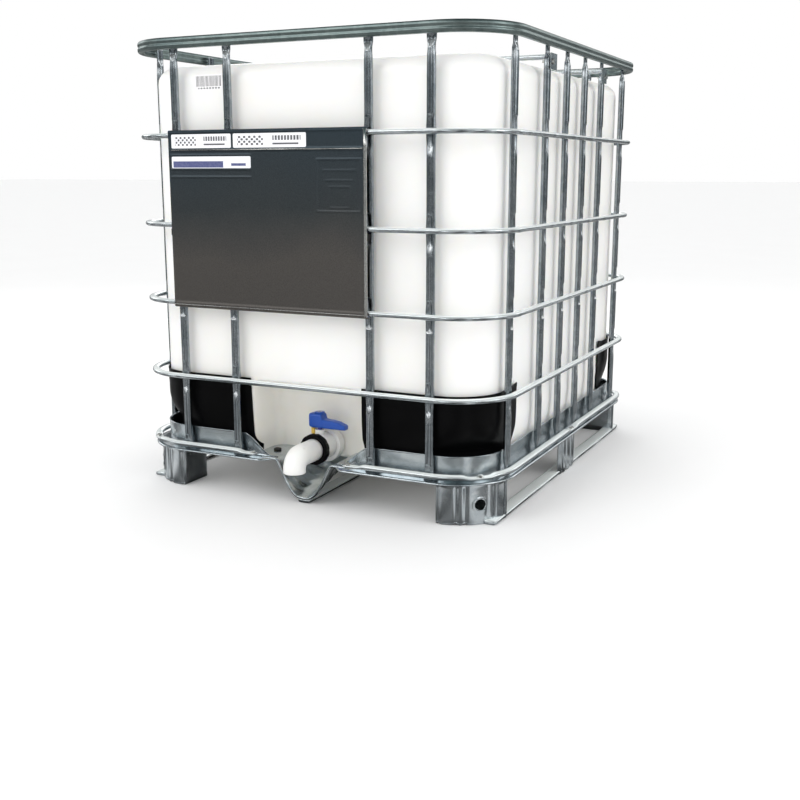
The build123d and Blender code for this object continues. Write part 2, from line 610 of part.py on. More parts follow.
# ---- nodes --------------------------------------------------------------------------------
feet = at_corners(corner_foot())
guards = at_corners(corner_guard())
side_foot = mid_foot()
nodes = {
    "top_rim": top_rim(),
    "base_ring": base_ring(),
    "front_uprights": end_uprights(-1),
    "rear_uprights": end_uprights(1),
    "right_uprights": side_uprights(1),
    "left_uprights": side_uprights(-1),
    "cross_bar_front": cross_bar(-1),
    "cross_bar_rear": cross_bar(1),
    "cross_bar_screws": group([cross_bar_screw(side, y) for side in (-1, 1) for y in SCREW_YS]),
    "label_plate": label_plate(),
    "plate_clips": group([plate_clip(-334.0), plate_clip(184.0)]),
    "plate_label_left": sticker(PLATE_LEFT + 9, -160, LABELS_LOW, LABELS_HIGH, PLATE_FRONT_Y),
    "plate_label_right": sticker(-154, 41, LABELS_LOW, LABELS_HIGH, PLATE_FRONT_Y),
    "plate_label_card": sticker(PLATE_LEFT + 8, -107, CARD_LOW, CARD_HIGH, PLATE_FRONT_Y),
    "bottle_label": sticker(-290, -211, 975, 1010, -DEPTH / 2 + BOTTLE_INSET),
    "guard_front_right": guards[0],
    "guard_rear_right": guards[1],
    "guard_rear_left": guards[2],
    "guard_front_left": guards[3],
    "base_pan": base_pan(),
    "base_bolts": group([base_bolt(x, y) for x, y in BASE_BOLTS]),
    "pan_plug": pan_plug(),
    "foot_front_right": feet[0],
    "foot_rear_right": feet[1],
    "foot_rear_left": feet[2],
    "foot_front_left": feet[3],
    "foot_mid_right": side_foot,
    "foot_mid_left": mirror(side_foot, about=Plane.YZ),
    "foot_centre": centre_foot(-60, 60),
    "foot_rear_centre": centre_foot(460, 575),
    "runner_right": runner(SIDE_RUNNER_X),
    "runner_centre": runner(0.0),
    "runner_left": runner(-SIDE_RUNNER_X),
    "bottle": bottle(),
    "cap_gasket": cap_gasket(),
    "fill_cap": fill_cap(),
    "vent_gasket": vent_gasket(),
    "vent_plug": vent_plug(),
    "valve_gasket": valve_gasket(),
    "valve_body": valve_body(),
    "valve_coupling_ring": valve_coupling_ring(),
    "seat_liner": seat_liner(),
    "valve_disc": valve_disc(),
    "valve_stem": valve_stem(),
    "stem_seal": stem_seal(),
    "disc_pin": disc_pin(),
    "valve_handle": valve_handle(),
    "handle_screw": handle_screw(),
    "seal_clip": seal_clip(),
    "union_nut": union_nut(),
    "elbow_gasket": elbow_gasket(),
    "outlet_elbow": outlet_elbow(),
}
nodes.update({name: cage_ring(z) for name, z in RING_Z.items()})

os.makedirs("parts", exist_ok=True)
for name, shape in nodes.items():
    export_step(shape, f"parts/{name}.step")
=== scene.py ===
import random
from math import copysign, cos, dist, exp, hypot, pi, radians, sin, sqrt

import bmesh
import bpy
from mathutils import Matrix, Vector


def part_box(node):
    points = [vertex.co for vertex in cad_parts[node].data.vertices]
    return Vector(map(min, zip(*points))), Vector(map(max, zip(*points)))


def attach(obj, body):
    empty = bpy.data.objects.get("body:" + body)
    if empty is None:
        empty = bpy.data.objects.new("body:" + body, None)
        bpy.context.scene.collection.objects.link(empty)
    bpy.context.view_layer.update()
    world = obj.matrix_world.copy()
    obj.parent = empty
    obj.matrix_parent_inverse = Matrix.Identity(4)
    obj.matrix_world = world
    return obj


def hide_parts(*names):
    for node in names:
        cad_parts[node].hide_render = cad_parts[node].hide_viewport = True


# Looks for the caged bulk container.  Metres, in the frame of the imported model.

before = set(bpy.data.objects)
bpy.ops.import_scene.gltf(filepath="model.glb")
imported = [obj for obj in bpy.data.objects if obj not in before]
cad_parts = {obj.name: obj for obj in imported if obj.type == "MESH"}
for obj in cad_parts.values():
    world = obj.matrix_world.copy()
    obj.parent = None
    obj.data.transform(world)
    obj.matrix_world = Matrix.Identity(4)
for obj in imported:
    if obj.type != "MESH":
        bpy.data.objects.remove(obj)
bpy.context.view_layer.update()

MM = 0.001
HALF_W, HALF_D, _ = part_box("top_rim")[1]
CORNER_R = 155 * MM
RING_DEEP = 18 * MM
RING_HIGH = 12 * MM
PAN_TOP = 102.0                 # mm
CORNERS = {"front_right": (1, -1), "rear_right": (1, 1), "rear_left": (-1, 1), "front_left": (-1, -1)}
BOLT_CORNER = (0.4484, 0.5484)
BOLT_SIDE_X = 0.491
BOLT_FRONT = 0.591


def centre_z(node):
    low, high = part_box(node)
    return (low[2] + high[2]) / 2


RING_Z = {name: centre_z(name) for name in ("ring_2", "ring_3", "ring_4", "ring_5")}
BASE_Z = centre_z("base_ring")
VALVE_Z = centre_z("union_nut")
COLLAR_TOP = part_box("base_pan")[1][2]


# ---- shaping maths ----
def smooth(low, high, value):
    """0 below low, 1 above high, an S curve between."""
    t = min(1.0, max(0.0, (value - low) / (high - low)))
    return t * t * (3 - 2 * t)


def bell(value, half):
    """1 at 0, falling to 0 at +-half along a circle."""
    t = value / half
    return sqrt(1 - t * t) if abs(t) < 1 else 0.0


def gauss(value, width):
    return exp(-(value / width) ** 2)


def signed_power(value, power):
    return copysign(abs(value) ** power, value)


def steps(low, high, count):
    return [low + (high - low) * i / (count - 1) for i in range(count)]


# ---- mesh building ----
def turn(count, start=0.0):
    """Angles of one full turn in equal steps."""
    return [2 * pi * i / count + start for i in range(count)]


def soft_box(half_a, half_b, power_a, power_b, count):
    """Outline between an ellipse and a box, as (a, b) offsets."""
    return [(half_a * signed_power(cos(t), power_a), half_b * signed_power(sin(t), power_b))
            for t in turn(count)]


def make_object(name, verts, faces, material, flat=False):
    mesh = bpy.data.meshes.new(name)
    mesh.from_pydata(verts, [], faces)
    obj = bpy.data.objects.new(name, mesh)
    bpy.context.scene.collection.objects.link(obj)
    bm = bmesh.new()
    bm.from_mesh(mesh)
    bmesh.ops.remove_doubles(bm, verts=bm.verts, dist=1e-6)
    bmesh.ops.recalc_face_normals(bm, faces=bm.faces)
    bm.to_mesh(mesh)
    bm.free()
    for polygon in mesh.polygons:
        polygon.use_smooth = not flat
    mesh.materials.append(material)
    return obj


def place(obj, slot, *nodes, body="container"):
    """Hangs a finished piece on its body and lets it stand for the CAD nodes."""
    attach(obj, body)
    if nodes:
        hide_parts(*nodes)


def piece(name, skin, material, slot, *nodes, body="container", flat=False):
    """Makes an object from (vertices, faces) and places it."""
    obj = make_object(name, *skin, material, flat)
    place(obj, slot, *nodes, body=body)
    return obj


def loft(rows, closed=False, caps=True):
    """Vertices and faces of a skin over equal-length loops of points."""
    size = len(rows[0])
    verts = [point for row in rows for point in row]
    faces = []
    spans = len(rows) if closed else len(rows) - 1
    for r in range(spans):
        a = r * size
        b = ((r + 1) % len(rows)) * size
        for i in range(size):
            j = (i + 1) % size
            faces.append((a + i, a + j, b + j, b + i))
    if caps and not closed:
        faces.append(tuple(range(size - 1, -1, -1)))
        last = (len(rows) - 1) * size
        faces.append(tuple(range(last, last + size)))
    return verts, faces


def join_meshes(parts):
    """One vertex and face list from several."""
    verts = []
    faces = []
    for part_verts, part_faces in parts:
        base = len(verts)
        verts += part_verts
        faces += [tuple(base + i for i in face) for face in part_faces]
    return verts, faces


def sheet(rows, offset):
    """Closed sheet: a grid of points and the same grid moved by offset(column)."""
    height = len(rows)
    width = len(rows[0])
    front = [p for row in rows for p in row]
    back = [tuple(Vector(p) + offset(i % width)) for i, p in enumerate(front)]
    shift = len(front)
    faces = []
    for r in range(height - 1):
        for c in range(width - 1):
            i = r * width + c
            quad = (i, i + 1, i + width + 1, i + width)
            faces.append(quad)
            faces.append(tuple(shift + k for k in reversed(quad)))
    edge = list(range(width))
    edge += [r * width + width - 1 for r in range(1, height)]
    edge += [(height - 1) * width + c for c in range(width - 2, -1, -1)]
    edge += [r * width for r in range(height - 2, 0, -1)]
    for a, b in zip(edge, edge[1:] + edge[:1]):
        faces.append((b, a, a + shift, b + shift))
    return front + back, faces


def shade_smooth(obj):
    for polygon in obj.data.polygons:
        polygon.use_smooth = True


def add_bevel(obj, width, segments=2, angle=35):
    """Weld, small bevel and even normals."""
    obj.modifiers.new("weld", "WELD").merge_threshold = 1e-5
    bevel = obj.modifiers.new("bevel", "BEVEL")
    bevel.width = width
    bevel.segments = segments
    bevel.limit_method = "ANGLE"
    bevel.angle_limit = radians(angle)
    bevel.harden_normals = False
    shade_smooth(obj)
    obj.modifiers.new("normals", "WEIGHTED_NORMAL").keep_sharp = True


def turned(profile, count, x=0.0, y=0.0, start=0.0):
    """Closed ring about an upright axis from a (radius, z) outline in mm."""
    rows = [[(x + r * MM * cos(a), y + r * MM * sin(a), z * MM) for r, z in profile]
            for a in turn(count, start)]
    return loft(rows, closed=True)


def turned_on_outlet(profile, count=72, grip=lambda a, r: 0.0):
    """Closed ring about the valve axis from a (radius, y) outline in mm."""
    rows = []
    for a in turn(count):
        row = []
        for r, y in profile:
            radius = r + grip(a, r)
            row.append((radius * MM * cos(a), y * MM, VALVE_Z + radius * MM * sin(a)))
        rows.append(row)
    return loft(rows, closed=True)


def outline_points(half_w, half_d, radius, arc_step=4.0, run_step=0.012):
    """Closed rounded rectangle from the middle of +X, anticlockwise: (x, y, nx, ny, s)."""
    x, y = half_w - radius, half_d - radius
    runs = (((half_w, 0), (half_w, y), (1, 0)), ((x, half_d), (-x, half_d), (0, 1)),
            ((-half_w, y), (-half_w, -y), (-1, 0)), ((-x, -half_d), (x, -half_d), (0, -1)),
            ((half_w, -y), (half_w, 0), (1, 0)))
    corners = ((x, y), (-x, y), (-x, -y), (x, -y))
    arc_count = round(90 / arc_step)
    points = []
    s = 0.0
    for side, (start, end, normal) in enumerate(runs):
        length = dist(start, end)
        count = max(1, round(length / run_step))
        for i in range(count):
            t = i / count
            points.append((start[0] + (end[0] - start[0]) * t, start[1] + (end[1] - start[1]) * t,
                           *normal, s + length * t))
        s += length
        if side == len(corners):
            break
        cx, cy = corners[side]
        for i in range(arc_count):
            angle = radians(90 * side + 90 * i / arc_count)
            nx, ny = cos(angle), sin(angle)
            along = s + radius * radians(90 * i / arc_count)
            points.append((cx + radius * nx, cy + radius * ny, nx, ny, along))
        s += radius * pi / 2
    return points


def cage_line(inset, arc_step=4.0, run_step=0.012):
    return outline_points(HALF_W - inset, HALF_D - inset, CORNER_R - inset, arc_step, run_step)


# ---- materials ----
def axes(tree, space):
    """X, Y and Z outputs of a texture space."""
    coord = tree.nodes.new("ShaderNodeTexCoord")
    split = tree.nodes.new("ShaderNodeSeparateXYZ")
    tree.links.new(coord.outputs[space], split.inputs["Vector"])
    return split.outputs


def preset(node, **values):
    """Sets unlinked inputs; an underscore in a name stands for a space."""
    for name, value in values.items():
        node.inputs[name.replace("_", " ")].default_value = value


def new_material(name, colour, roughness, metallic=0.0):
    material = bpy.data.materials.new(name)
    material.use_nodes = True
    tree = material.node_tree
    shader = tree.nodes["Principled BSDF"]
    preset(shader, Base_Color=(*colour, 1), Roughness=roughness, Metallic=metallic)
    return material, tree, shader


def noise(tree, scale, detail=3.0, stretch=None, kind="ShaderNodeTexNoise"):
    """Noise in object space, optionally stretched along an axis: its factor, or a cell colour."""
    coord = tree.nodes.new("ShaderNodeTexCoord")
    node = tree.nodes.new(kind)
    preset(node, Scale=scale)
    if kind == "ShaderNodeTexNoise":
        preset(node, Detail=detail)
    if stretch:
        mapping = tree.nodes.new("ShaderNodeMapping")
        preset(mapping, Scale=stretch)
        tree.links.new(coord.outputs["Object"], mapping.inputs["Vector"])
        tree.links.new(mapping.outputs["Vector"], node.inputs["Vector"])
    else:
        tree.links.new(coord.outputs["Object"], node.inputs["Vector"])
    return node.outputs["Fac" if kind == "ShaderNodeTexNoise" else "Color"]


def ramp(tree, source, stops):
    node = tree.nodes.new("ShaderNodeValToRGB")
    elements = node.color_ramp.elements
    while len(elements) < len(stops):
        elements.new(0.5)
    for element, (position, colour) in zip(elements, stops):
        element.position = position
        element.color = (*colour, 1)
    tree.links.new(source, node.inputs["Fac"])
    return node.outputs["Color"]


def value_range(tree, source, low, high, start=0.0, end=1.0):
    node = tree.nodes.new("ShaderNodeMapRange")
    preset(node, From_Min=start, From_Max=end, To_Min=low, To_Max=high)
    tree.links.new(source, node.inputs["Value"])
    return node.outputs["Result"]


def mix_colours(tree, factor, first, second, mode="MIX"):
    node = tree.nodes.new("ShaderNodeMix")
    node.data_type = "RGBA"
    node.blend_type = mode
    sockets = [s for s in node.inputs if s.type == "RGBA"]
    if isinstance(factor, float):
        preset(node, Factor=factor)
    else:
        tree.links.new(factor, node.inputs["Factor"])
    for socket, value in zip(sockets, (first, second)):
        if isinstance(value, tuple):
            socket.default_value = (*value, 1)
        else:
            tree.links.new(value, socket)
    return [s for s in node.outputs if s.type == "RGBA"][0]


def maths(tree, operation, a, b=None):
    node = tree.nodes.new("ShaderNodeMath")
    node.operation = operation
    for socket, value in zip(node.inputs, (a, b)):
        if isinstance(value, (int, float)):
            socket.default_value = value
        elif value is not None:
            tree.links.new(value, socket)
    return node.outputs[0]


def times(tree, a, b):
    return maths(tree, "MULTIPLY", a, b)


def between(tree, value, low, high):
    """1 where value is above low and below high."""
    return times(tree, maths(tree, "GREATER_THAN", value, low), maths(tree, "LESS_THAN", value, high))


def strips(tree, x, y, count):
    """Soft upright light and dark strips all round, as a factor from about 0 to 1."""
    angle = maths(tree, "ARCTAN2", y, x)
    coarse = maths(tree, "SINE", times(tree, angle, float(count)))
    fine = maths(tree, "SINE", times(tree, angle, count * 2.7))
    total = maths(tree, "ADD", times(tree, coarse, 0.32), times(tree, fine, 0.22))
    return maths(tree, "ADD", total, 0.5)


def finish_surface(tree, shader, colour, height, strength, distance, rough=None):
    """Links the colour, the bump and, where it varies, the roughness."""
    tree.links.new(colour, shader.inputs["Base Color"])
    if rough:
        tree.links.new(rough, shader.inputs["Roughness"])
    bump = tree.nodes.new("ShaderNodeBump")
    preset(bump, Strength=strength, Distance=distance)
    tree.links.new(height, bump.inputs["Height"])
    tree.links.new(bump.outputs["Normal"], shader.inputs["Normal"])


def galvanised(name, light, dark, rough_low, rough_high, spangle_scale=90.0):
    """Zinc: crystal spangle over cloudy tone, uneven gloss and faint dents."""
    material, tree, shader = new_material(name, light, 0.3, 1.0)
    cells = noise(tree, spangle_scale, kind="ShaderNodeTexVoronoi")
    cloud = noise(tree, 9.0, 4.0)
    cell_tone = ramp(tree, cells, [(0.2, dark), (0.8, light)])
    cloud_tone = ramp(tree, cloud, [(0.35, dark), (0.62, light)])
    tone = mix_colours(tree, 0.45, cloud_tone, cell_tone)
    rough = value_range(tree, noise(tree, 30.0, 6.0), rough_low, rough_high)
    finish_surface(tree, shader, tone, noise(tree, 140.0, 5.0), 0.12, 0.0006, rough)
    return material


def paint_top_highlight(material, tone, dullness):
    """Painted highlight: where the surface faces up, the base colour is mixed towards a pale tone and
    the metal made duller, so the tops look lit.
    """
    tree = material.node_tree
    shader = tree.nodes["Principled BSDF"]
    surface = tree.nodes.new("ShaderNodeNewGeometry")
    facing = tree.nodes.new("ShaderNodeSeparateXYZ")
    tree.links.new(surface.outputs["Normal"], facing.inputs["Vector"])
    metal_tone = shader.inputs["Base Color"].links[0].from_socket
    upward = value_range(tree, facing.outputs["Z"], 0.0, 1.0)
    tree.links.new(mix_colours(tree, upward, metal_tone, tone), shader.inputs["Base Color"])
    metal = value_range(tree, facing.outputs["Z"], 1.0, 1.0 - dullness)
    tree.links.new(metal, shader.inputs["Metallic"])


def plastic(name, light, dark, roughness, bump_scale, bump_strength, subsurface=0.0):
    """Moulded plastic: slight tone drift, fine skin texture, small scuffs in the gloss."""
    material, tree, shader = new_material(name, light, roughness)
    tone = ramp(tree, noise(tree, 6.0, 5.0), [(0.35, dark), (0.65, light)])
    scuff = noise(tree, 45.0, 8.0)
    rough = value_range(tree, scuff, roughness * 0.75, roughness * 1.3)
    skin = noise(tree, bump_scale, 4.0)
    finish_surface(tree, shader, tone, skin, bump_strength, 0.0008, rough)
    if subsurface:
        preset(shader, Subsurface_Weight=subsurface, Subsurface_Radius=(0.02, 0.015, 0.01))
    return material


tube_zinc = galvanised("zinc_tube", (0.56, 0.60, 0.62), (0.36, 0.40, 0.42), 0.14, 0.28)
# The uprights are the same zinc as the rings, in a darker copy: painted shade.
shaded_upright_zinc = galvanised("zinc_upright_shaded", (0.36, 0.39, 0.41), (0.19, 0.22, 0.24), 0.14, 0.28)
# Painted highlights: pale, dull tops on the tube and upright zinc.
paint_top_highlight(tube_zinc, (0.90, 0.95, 0.94), 0.85)
paint_top_highlight(shaded_upright_zinc, (0.97, 0.98, 0.98), 0.95)
rim_zinc = galvanised("zinc_rim", (0.22, 0.27, 0.26), (0.14, 0.18, 0.18), 0.30, 0.42)
sheet_zinc = galvanised("zinc_sheet", (0.66, 0.70, 0.72), (0.44, 0.49, 0.52), 0.16, 0.32, 60.0)
bolt_zinc = galvanised("zinc_bolt", (0.72, 0.72, 0.70), (0.50, 0.50, 0.48), 0.18, 0.3, 160.0)
black_plastic = plastic(
    "black_moulding", (0.0025, 0.0025, 0.003), (0.001, 0.001, 0.0012), 0.36, 300.0, 0.25)
preset(black_plastic.node_tree.nodes["Principled BSDF"], Specular_IOR_Level=0.10)
white_plastic = plastic("white_moulding", (0.90, 0.90, 0.88), (0.84, 0.84, 0.82), 0.3, 180.0, 0.08, 0.1)
blue_plastic = plastic("blue_moulding", (0.012, 0.085, 0.45), (0.009, 0.065, 0.36), 0.32, 220.0, 0.12)
stem_plastic = plastic("stem_moulding", (0.07, 0.06, 0.42), (0.05, 0.045, 0.32), 0.35, 220.0, 0.12)
yellow_plastic = plastic("yellow_moulding", (0.78, 0.55, 0.10), (0.68, 0.46, 0.08), 0.4, 220.0, 0.12)
rubber = plastic("seal_rubber", (0.025, 0.025, 0.026), (0.014, 0.014, 0.015), 0.7, 260.0, 0.3)


# ---- cage ----
SECTION = 28                    # points round a tube
WELD_X = (-334, -184, 184, 334)
WELD_Y = (-447, -230, -76, 76, 230, 447)


def stadium():
    """Flattened tube section as (outward, up) offsets."""
    return soft_box(RING_DEEP / 2, RING_HIGH / 2, 0.8, 0.85, SECTION)


def near_upright(x, y):
    """How close a ring point is to a weld with an upright, 1 at the weld."""
    along_front = max(gauss(x - wx * MM, 0.011) for wx in WELD_X) if abs(y) > HALF_D - 0.03 else 0
    along_side = max(gauss(y - wy * MM, 0.011) for wy in WELD_Y) if abs(x) > HALF_W - 0.03 else 0
    return max(along_front, along_side)


def ring_rows(z, line):
    """Ring tube with its inner face pressed flat at every weld."""
    rows = []
    for x, y, nx, ny, _ in line:
        weld = near_upright(x, y)
        row = []
        for out, up in stadium():
            shift = out * (1 - 0.1 * weld)
            rise = up * (1 + 0.10 * weld)
            row.append((x + nx * shift, y + ny * shift, z + rise))
        rows.append(row)
    return rows


def make_rings():
    line = cage_line(RING_DEEP / 2, 4.0, 0.008)
    for name, z in RING_Z.items():
        piece("tube_" + name, loft(ring_rows(z, line), closed=True), tube_zinc, "galvanised_tube", name)


def rim_section():
    """Two rolled bands one above the other, as (outward, up) offsets."""
    points = []
    for out, up in soft_box(9 * MM, 13 * MM, 0.45, 0.8, 44):
        groove = 2.6 * MM * gauss(up, 2.6 * MM) * (1 if out > 0 else 0.8)
        points.append((out - copysign(groove, out), up))
    return points


def make_rim():
    z = centre_z("top_rim")
    rows = [[(x + nx * out, y + ny * out, z + up) for out, up in rim_section()]
            for x, y, nx, ny, _ in cage_line(RING_DEEP / 2, 4.0, 0.02)]
    piece("tube_top_rim", loft(rows, closed=True), rim_zinc, "galvanised_tube", "top_rim")


def open_at_front(line, gap):
    """The outline's points without those within gap of the middle of the front."""
    first = next(i for i, p in enumerate(line) if p[0] >= gap and p[1] < -HALF_D + 0.02)
    line = line[first:] + line[:first]
    return [p for p in line if not (abs(p[0]) < gap and p[1] < -HALF_D + 0.02)]


def base_flat(x, y):
    """1 where the base ring is pressed flat for a bolt: corners, mid sides, ends."""
    corner = hypot(abs(x) - BOLT_CORNER[0], abs(y) - BOLT_CORNER[1])
    side = hypot(abs(x) - BOLT_SIDE_X, y)
    end = hypot(abs(x) - 0.132, y + BOLT_FRONT)
    return 1 - smooth(0.024, 0.044, min(corner, side, end))


def make_base_ring():
    """Ring on the pan, open at the spout, pressed flat where bolts go through."""
    rows = []
    for x, y, nx, ny, _ in open_at_front(cage_line(RING_DEEP / 2, 3.0, 0.006), 117 * MM):
        flat = base_flat(x, y)
        row = []
        for out, up in stadium():
            high = up * (1 - 0.42 * flat)
            dish = 1.8 * MM * flat * gauss(out, 5 * MM) if up > 0 else 0
            row.append((x + nx * out, y + ny * out, BASE_Z - 2.2 * MM * flat + high - dish))
        rows.append(row)
    piece("tube_base_ring", loft(rows), tube_zinc, "galvanised_tube", "base_ring")


UPRIGHT_LOW = PAN_TOP
UPRIGHT_HIGH = 1086.0
WELD_HEIGHTS = [z / MM for z in RING_Z.values()]


def upright_levels():
    """Heights of the section rows in mm: close together at dents and ends."""
    levels = set()
    z = UPRIGHT_LOW
    while z < UPRIGHT_HIGH:
        near = min(abs(z - w) for w in WELD_HEIGHTS) < 44 or z < 145 or z > 1020
        levels.add(round(z, 2))
        z += 2.0 if near else 12.0
    levels.add(UPRIGHT_HIGH)
    return sorted(levels)


def upright_section(z, wobble):
    """Section of an upright at height z in mm, as (along, outward) offsets in mm."""
    bottom = 1 - smooth(104, 140, z)
    top = smooth(1046, 1060, z)
    neck = gauss(z - 1043, 14)
    weld_gap = min(abs(z - w) for w in WELD_HEIGHTS)
    half_a = 10.0 + 2.2 * bottom + 1.8 * top - 1.6 * neck + 1.2 * gauss(weld_gap, 20)
    half_b = 8.0 - 3.4 * bottom - 4.6 * top - 0.6 * neck
    centre_b = 2.8 * bottom - 0.5 * top
    # depth and width of the pressed hollows at the welds, the rim and the pan
    hollows = ((8.5 * bell(weld_gap, 36) ** 0.5, 5.4), (5.0 * bell(z - 1056, 13) ** 0.5, 4.6),
               (3.0 * bell(z - 122, 15) ** 0.5, 5.0))
    points = []
    for a, b in soft_box(half_a, half_b, 0.82, 0.82, SECTION):
        if b > 0:
            for depth, width in hollows:
                b -= depth * gauss(a, width)
        points.append((a + wobble * sin(z / 120), max(-8.0, b + centre_b)))
    return points


def upright(x, y, normal, rng):
    wobble = rng.uniform(-0.5, 0.5)
    nx, ny = normal
    return loft([[(x + (nx * b - ny * a) * MM, y + (nx * a + ny * b) * MM, z * MM)
                  for a, b in upright_section(z, wobble)] for z in upright_levels()])


def make_uprights():
    rng = random.Random(7)
    front_y, side_x = HALF_D - 26 * MM, HALF_W - 26.6 * MM
    spots = {
        "front_uprights": [(x * MM, -front_y, (0, -1)) for x in WELD_X],
        "rear_uprights": [(x * MM, front_y, (0, 1)) for x in WELD_X],
        "right_uprights": [(side_x, y * MM, (1, 0)) for y in WELD_Y],
        "left_uprights": [(-side_x, y * MM, (-1, 0)) for y in WELD_Y],
    }
    for node, places in spots.items():
        skin = join_meshes([upright(x, y, normal, rng) for x, y, normal in places])
        piece("dented_" + node, skin, shaded_upright_zinc, "galvanised_tube", node)


# ---- bottle ----
def bottle_material():
    """Natural white polyethylene: soft gloss, faint flow marks, and painted shade as a darker, warmer
    tone inside the valve recess.
    """
    material, tree, shader = new_material("bottle_polyethylene", (0.93, 0.93, 0.90), 0.34)
    flow = noise(tree, 3.0, 5.0, (1.0, 1.0, 0.35))
    tone = ramp(tree, flow, [(0.3, (0.90, 0.89, 0.86)), (0.7, (0.94, 0.94, 0.925))])
    x, y, z = axes(tree, "Object")
    # Painted shade: inside the valve recess, found by position, the colour turns darker and warmer.
    narrow = maths(tree, "LESS_THAN", maths(tree, "ABSOLUTE", x), 0.157)
    low_down = times(tree, narrow, maths(tree, "LESS_THAN", z, 0.29))
    recess_shade_mask = times(tree, low_down, between(tree, y, -0.546, -0.30))
    mottle = noise(tree, 14.0, 5.0)
    painted_recess_shade = ramp(tree, mottle, [(0.3, (0.94, 0.915, 0.84)), (0.7, (0.97, 0.955, 0.90))])
    rough = value_range(tree, noise(tree, 26.0, 7.0), 0.28, 0.46)
    skin = noise(tree, 120.0, 4.0)
    finish_surface(tree, shader, mix_colours(tree, recess_shade_mask, tone, painted_recess_shade), skin, 0.10, 0.0008, rough)
    preset(shader, Subsurface_Weight=0.25, Subsurface_Radius=(0.03, 0.024, 0.016))
    return material


def rounded_slab(half_w, half_d, radius, low, high, edge_r, name):
    """Closed block on a rounded outline, with rounded top and bottom edges."""
    arc = [radians(90 * i / 8) for i in range(9)]
    levels = [(edge_r * (1 - sin(a)), low + edge_r * (1 - cos(a))) for a in arc]
    levels += [(edge_r * (1 - cos(a)), high - edge_r * (1 - sin(a))) for a in arc]
    loops = []
    for cut, z in levels:
        line = outline_points(half_w - cut, half_d - cut, max(0.01, radius - cut), 6.0, 0.05)
        loops.append([(x, y, z) for x, y, _, _, _ in line])
    return make_object(name, *loft(loops), white_plastic)


def apply_modifiers(obj):
    """Bakes the modifiers into the mesh."""
    depsgraph = bpy.context.evaluated_depsgraph_get()
    mesh = bpy.data.meshes.new_from_object(obj.evaluated_get(depsgraph))
    obj.modifiers.clear()
    obj.data = mesh


def cut_with(obj, cutter):
    modifier = obj.modifiers.new("cut", "BOOLEAN")
    modifier.operation = "DIFFERENCE"
    modifier.solver = "EXACT"
    modifier.object = cutter
    apply_modifiers(obj)
    bpy.data.objects.remove(cutter)


def draw_in(x, y, z):
    """How far the walls are rounded in towards the foot, in metres: most at the corners."""
    corner = smooth(0.28, 0.44, abs(x)) * smooth(0.38, 0.54, abs(y))
    depth = min(1.0, max(0.0, (0.238 - z) / 0.078))
    return (6 + 27 * corner) * MM * depth ** 2.2


def shape_bottle(co, low, high):
    """Blow-moulded form: drawn-in foot, bowed sides, two grooves across a low top."""
    x, y, z = co
    pull = draw_in(x, y, z)
    dx = max(0.0, abs(x) - (HALF_W - CORNER_R))
    dy = max(0.0, abs(y) - (HALF_D - CORNER_R))
    reach = hypot(dx, dy) or 1.0
    bow = 2.0 * MM * sin(pi * min(1.0, max(0.0, (z - low[2]) / (high[2] - low[2]))))
    if abs(x) > 0.36:
        across = max(0.0, 1 - (abs(y) / HALF_D) ** 2)
        co.x -= copysign(pull * dx / reach * smooth(0.36, 0.42, abs(x)) - bow * across, x)
    if abs(y) > 0.42:
        along = max(0.0, 1 - (abs(x) / HALF_W) ** 2)
        co.y -= copysign(pull * dy / reach * smooth(0.46, 0.52, abs(y)) - bow * along, y)
    if z > 1.0:
        lowered = smooth(1.0, 1.03, z)
        co.z -= 5 * MM * gauss(abs(co.y) - 0.206, 0.020) * lowered
        co.z -= 3 * MM * smooth(0.14, 0.20, hypot(co.x, co.y)) * lowered


def make_bottle():
    """Shell with the valve recess cut in, softened as a blow moulding, with neck and outlet."""
    low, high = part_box("bottle")
    shell_top, recess_top = 1038 * MM, 286 * MM
    body = rounded_slab(high[0], high[1], 109 * MM, low[2], shell_top, 44 * MM, "bottle_shell")
    recess = rounded_slab(151 * MM, 150 * MM, 30 * MM, 0.0, recess_top, 22 * MM, "recess_cutter")
    recess.data.transform(Matrix.Translation((0, -590 * MM, 0)))
    cut_with(body, recess)
    remesh = body.modifiers.new("remesh", "REMESH")
    remesh.mode = "VOXEL"
    remesh.voxel_size = 0.006
    soften = body.modifiers.new("soften", "SMOOTH")
    soften.factor = 0.5
    soften.iterations = 7
    apply_modifiers(body)
    for vertex in body.data.vertices:
        shape_bottle(vertex.co, low, high)
    shade_smooth(body)
    material = bottle_material()
    body.data.materials.clear()
    body.data.materials.append(material)
    neck = [(72, 1036), (76, 1036), (76, 1044), (75, 1045), (75, 1053), (74, 1054), (72, 1054)]
    outlet = [(24.5, -438), (36, -438), (36, -454), (35.4, -455), (24.5, -455)]
    piece("bottle_neck", turned(neck, 96), material, "bottle_plastic")
    piece("bottle_outlet", turned_on_outlet(outlet), material, "bottle_plastic")
    place(body, "bottle_plastic", "bottle")


# ---- pan and spout ----
SPOUT_FRONT = -572 * MM
SPOUT_BACK = -428 * MM
SPOUT_HALF = 0.125


def spout_depth(x, y):
    """How far the drip spout dips below the pan floor, in mm, at x and y in metres."""
    t = (y - SPOUT_BACK) / (SPOUT_FRONT - SPOUT_BACK)
    run = min(1.15, max(0.0, t))
    deep = (44 + 46 * run) * smooth(-0.22, 0.12, t)
    across = min(1.0, abs(x) / MM / (74 + 4 * run))
    return deep * (1 - across ** 2.6) ** 1.6


def collar_height(x, y):
    """Collar height in mm above the pan: it runs out into the spout at the front."""
    full = COLLAR_TOP / MM - PAN_TOP
    if y > -HALF_D + 0.12:
        return full
    return full * smooth(88, 178, abs(x) / MM)


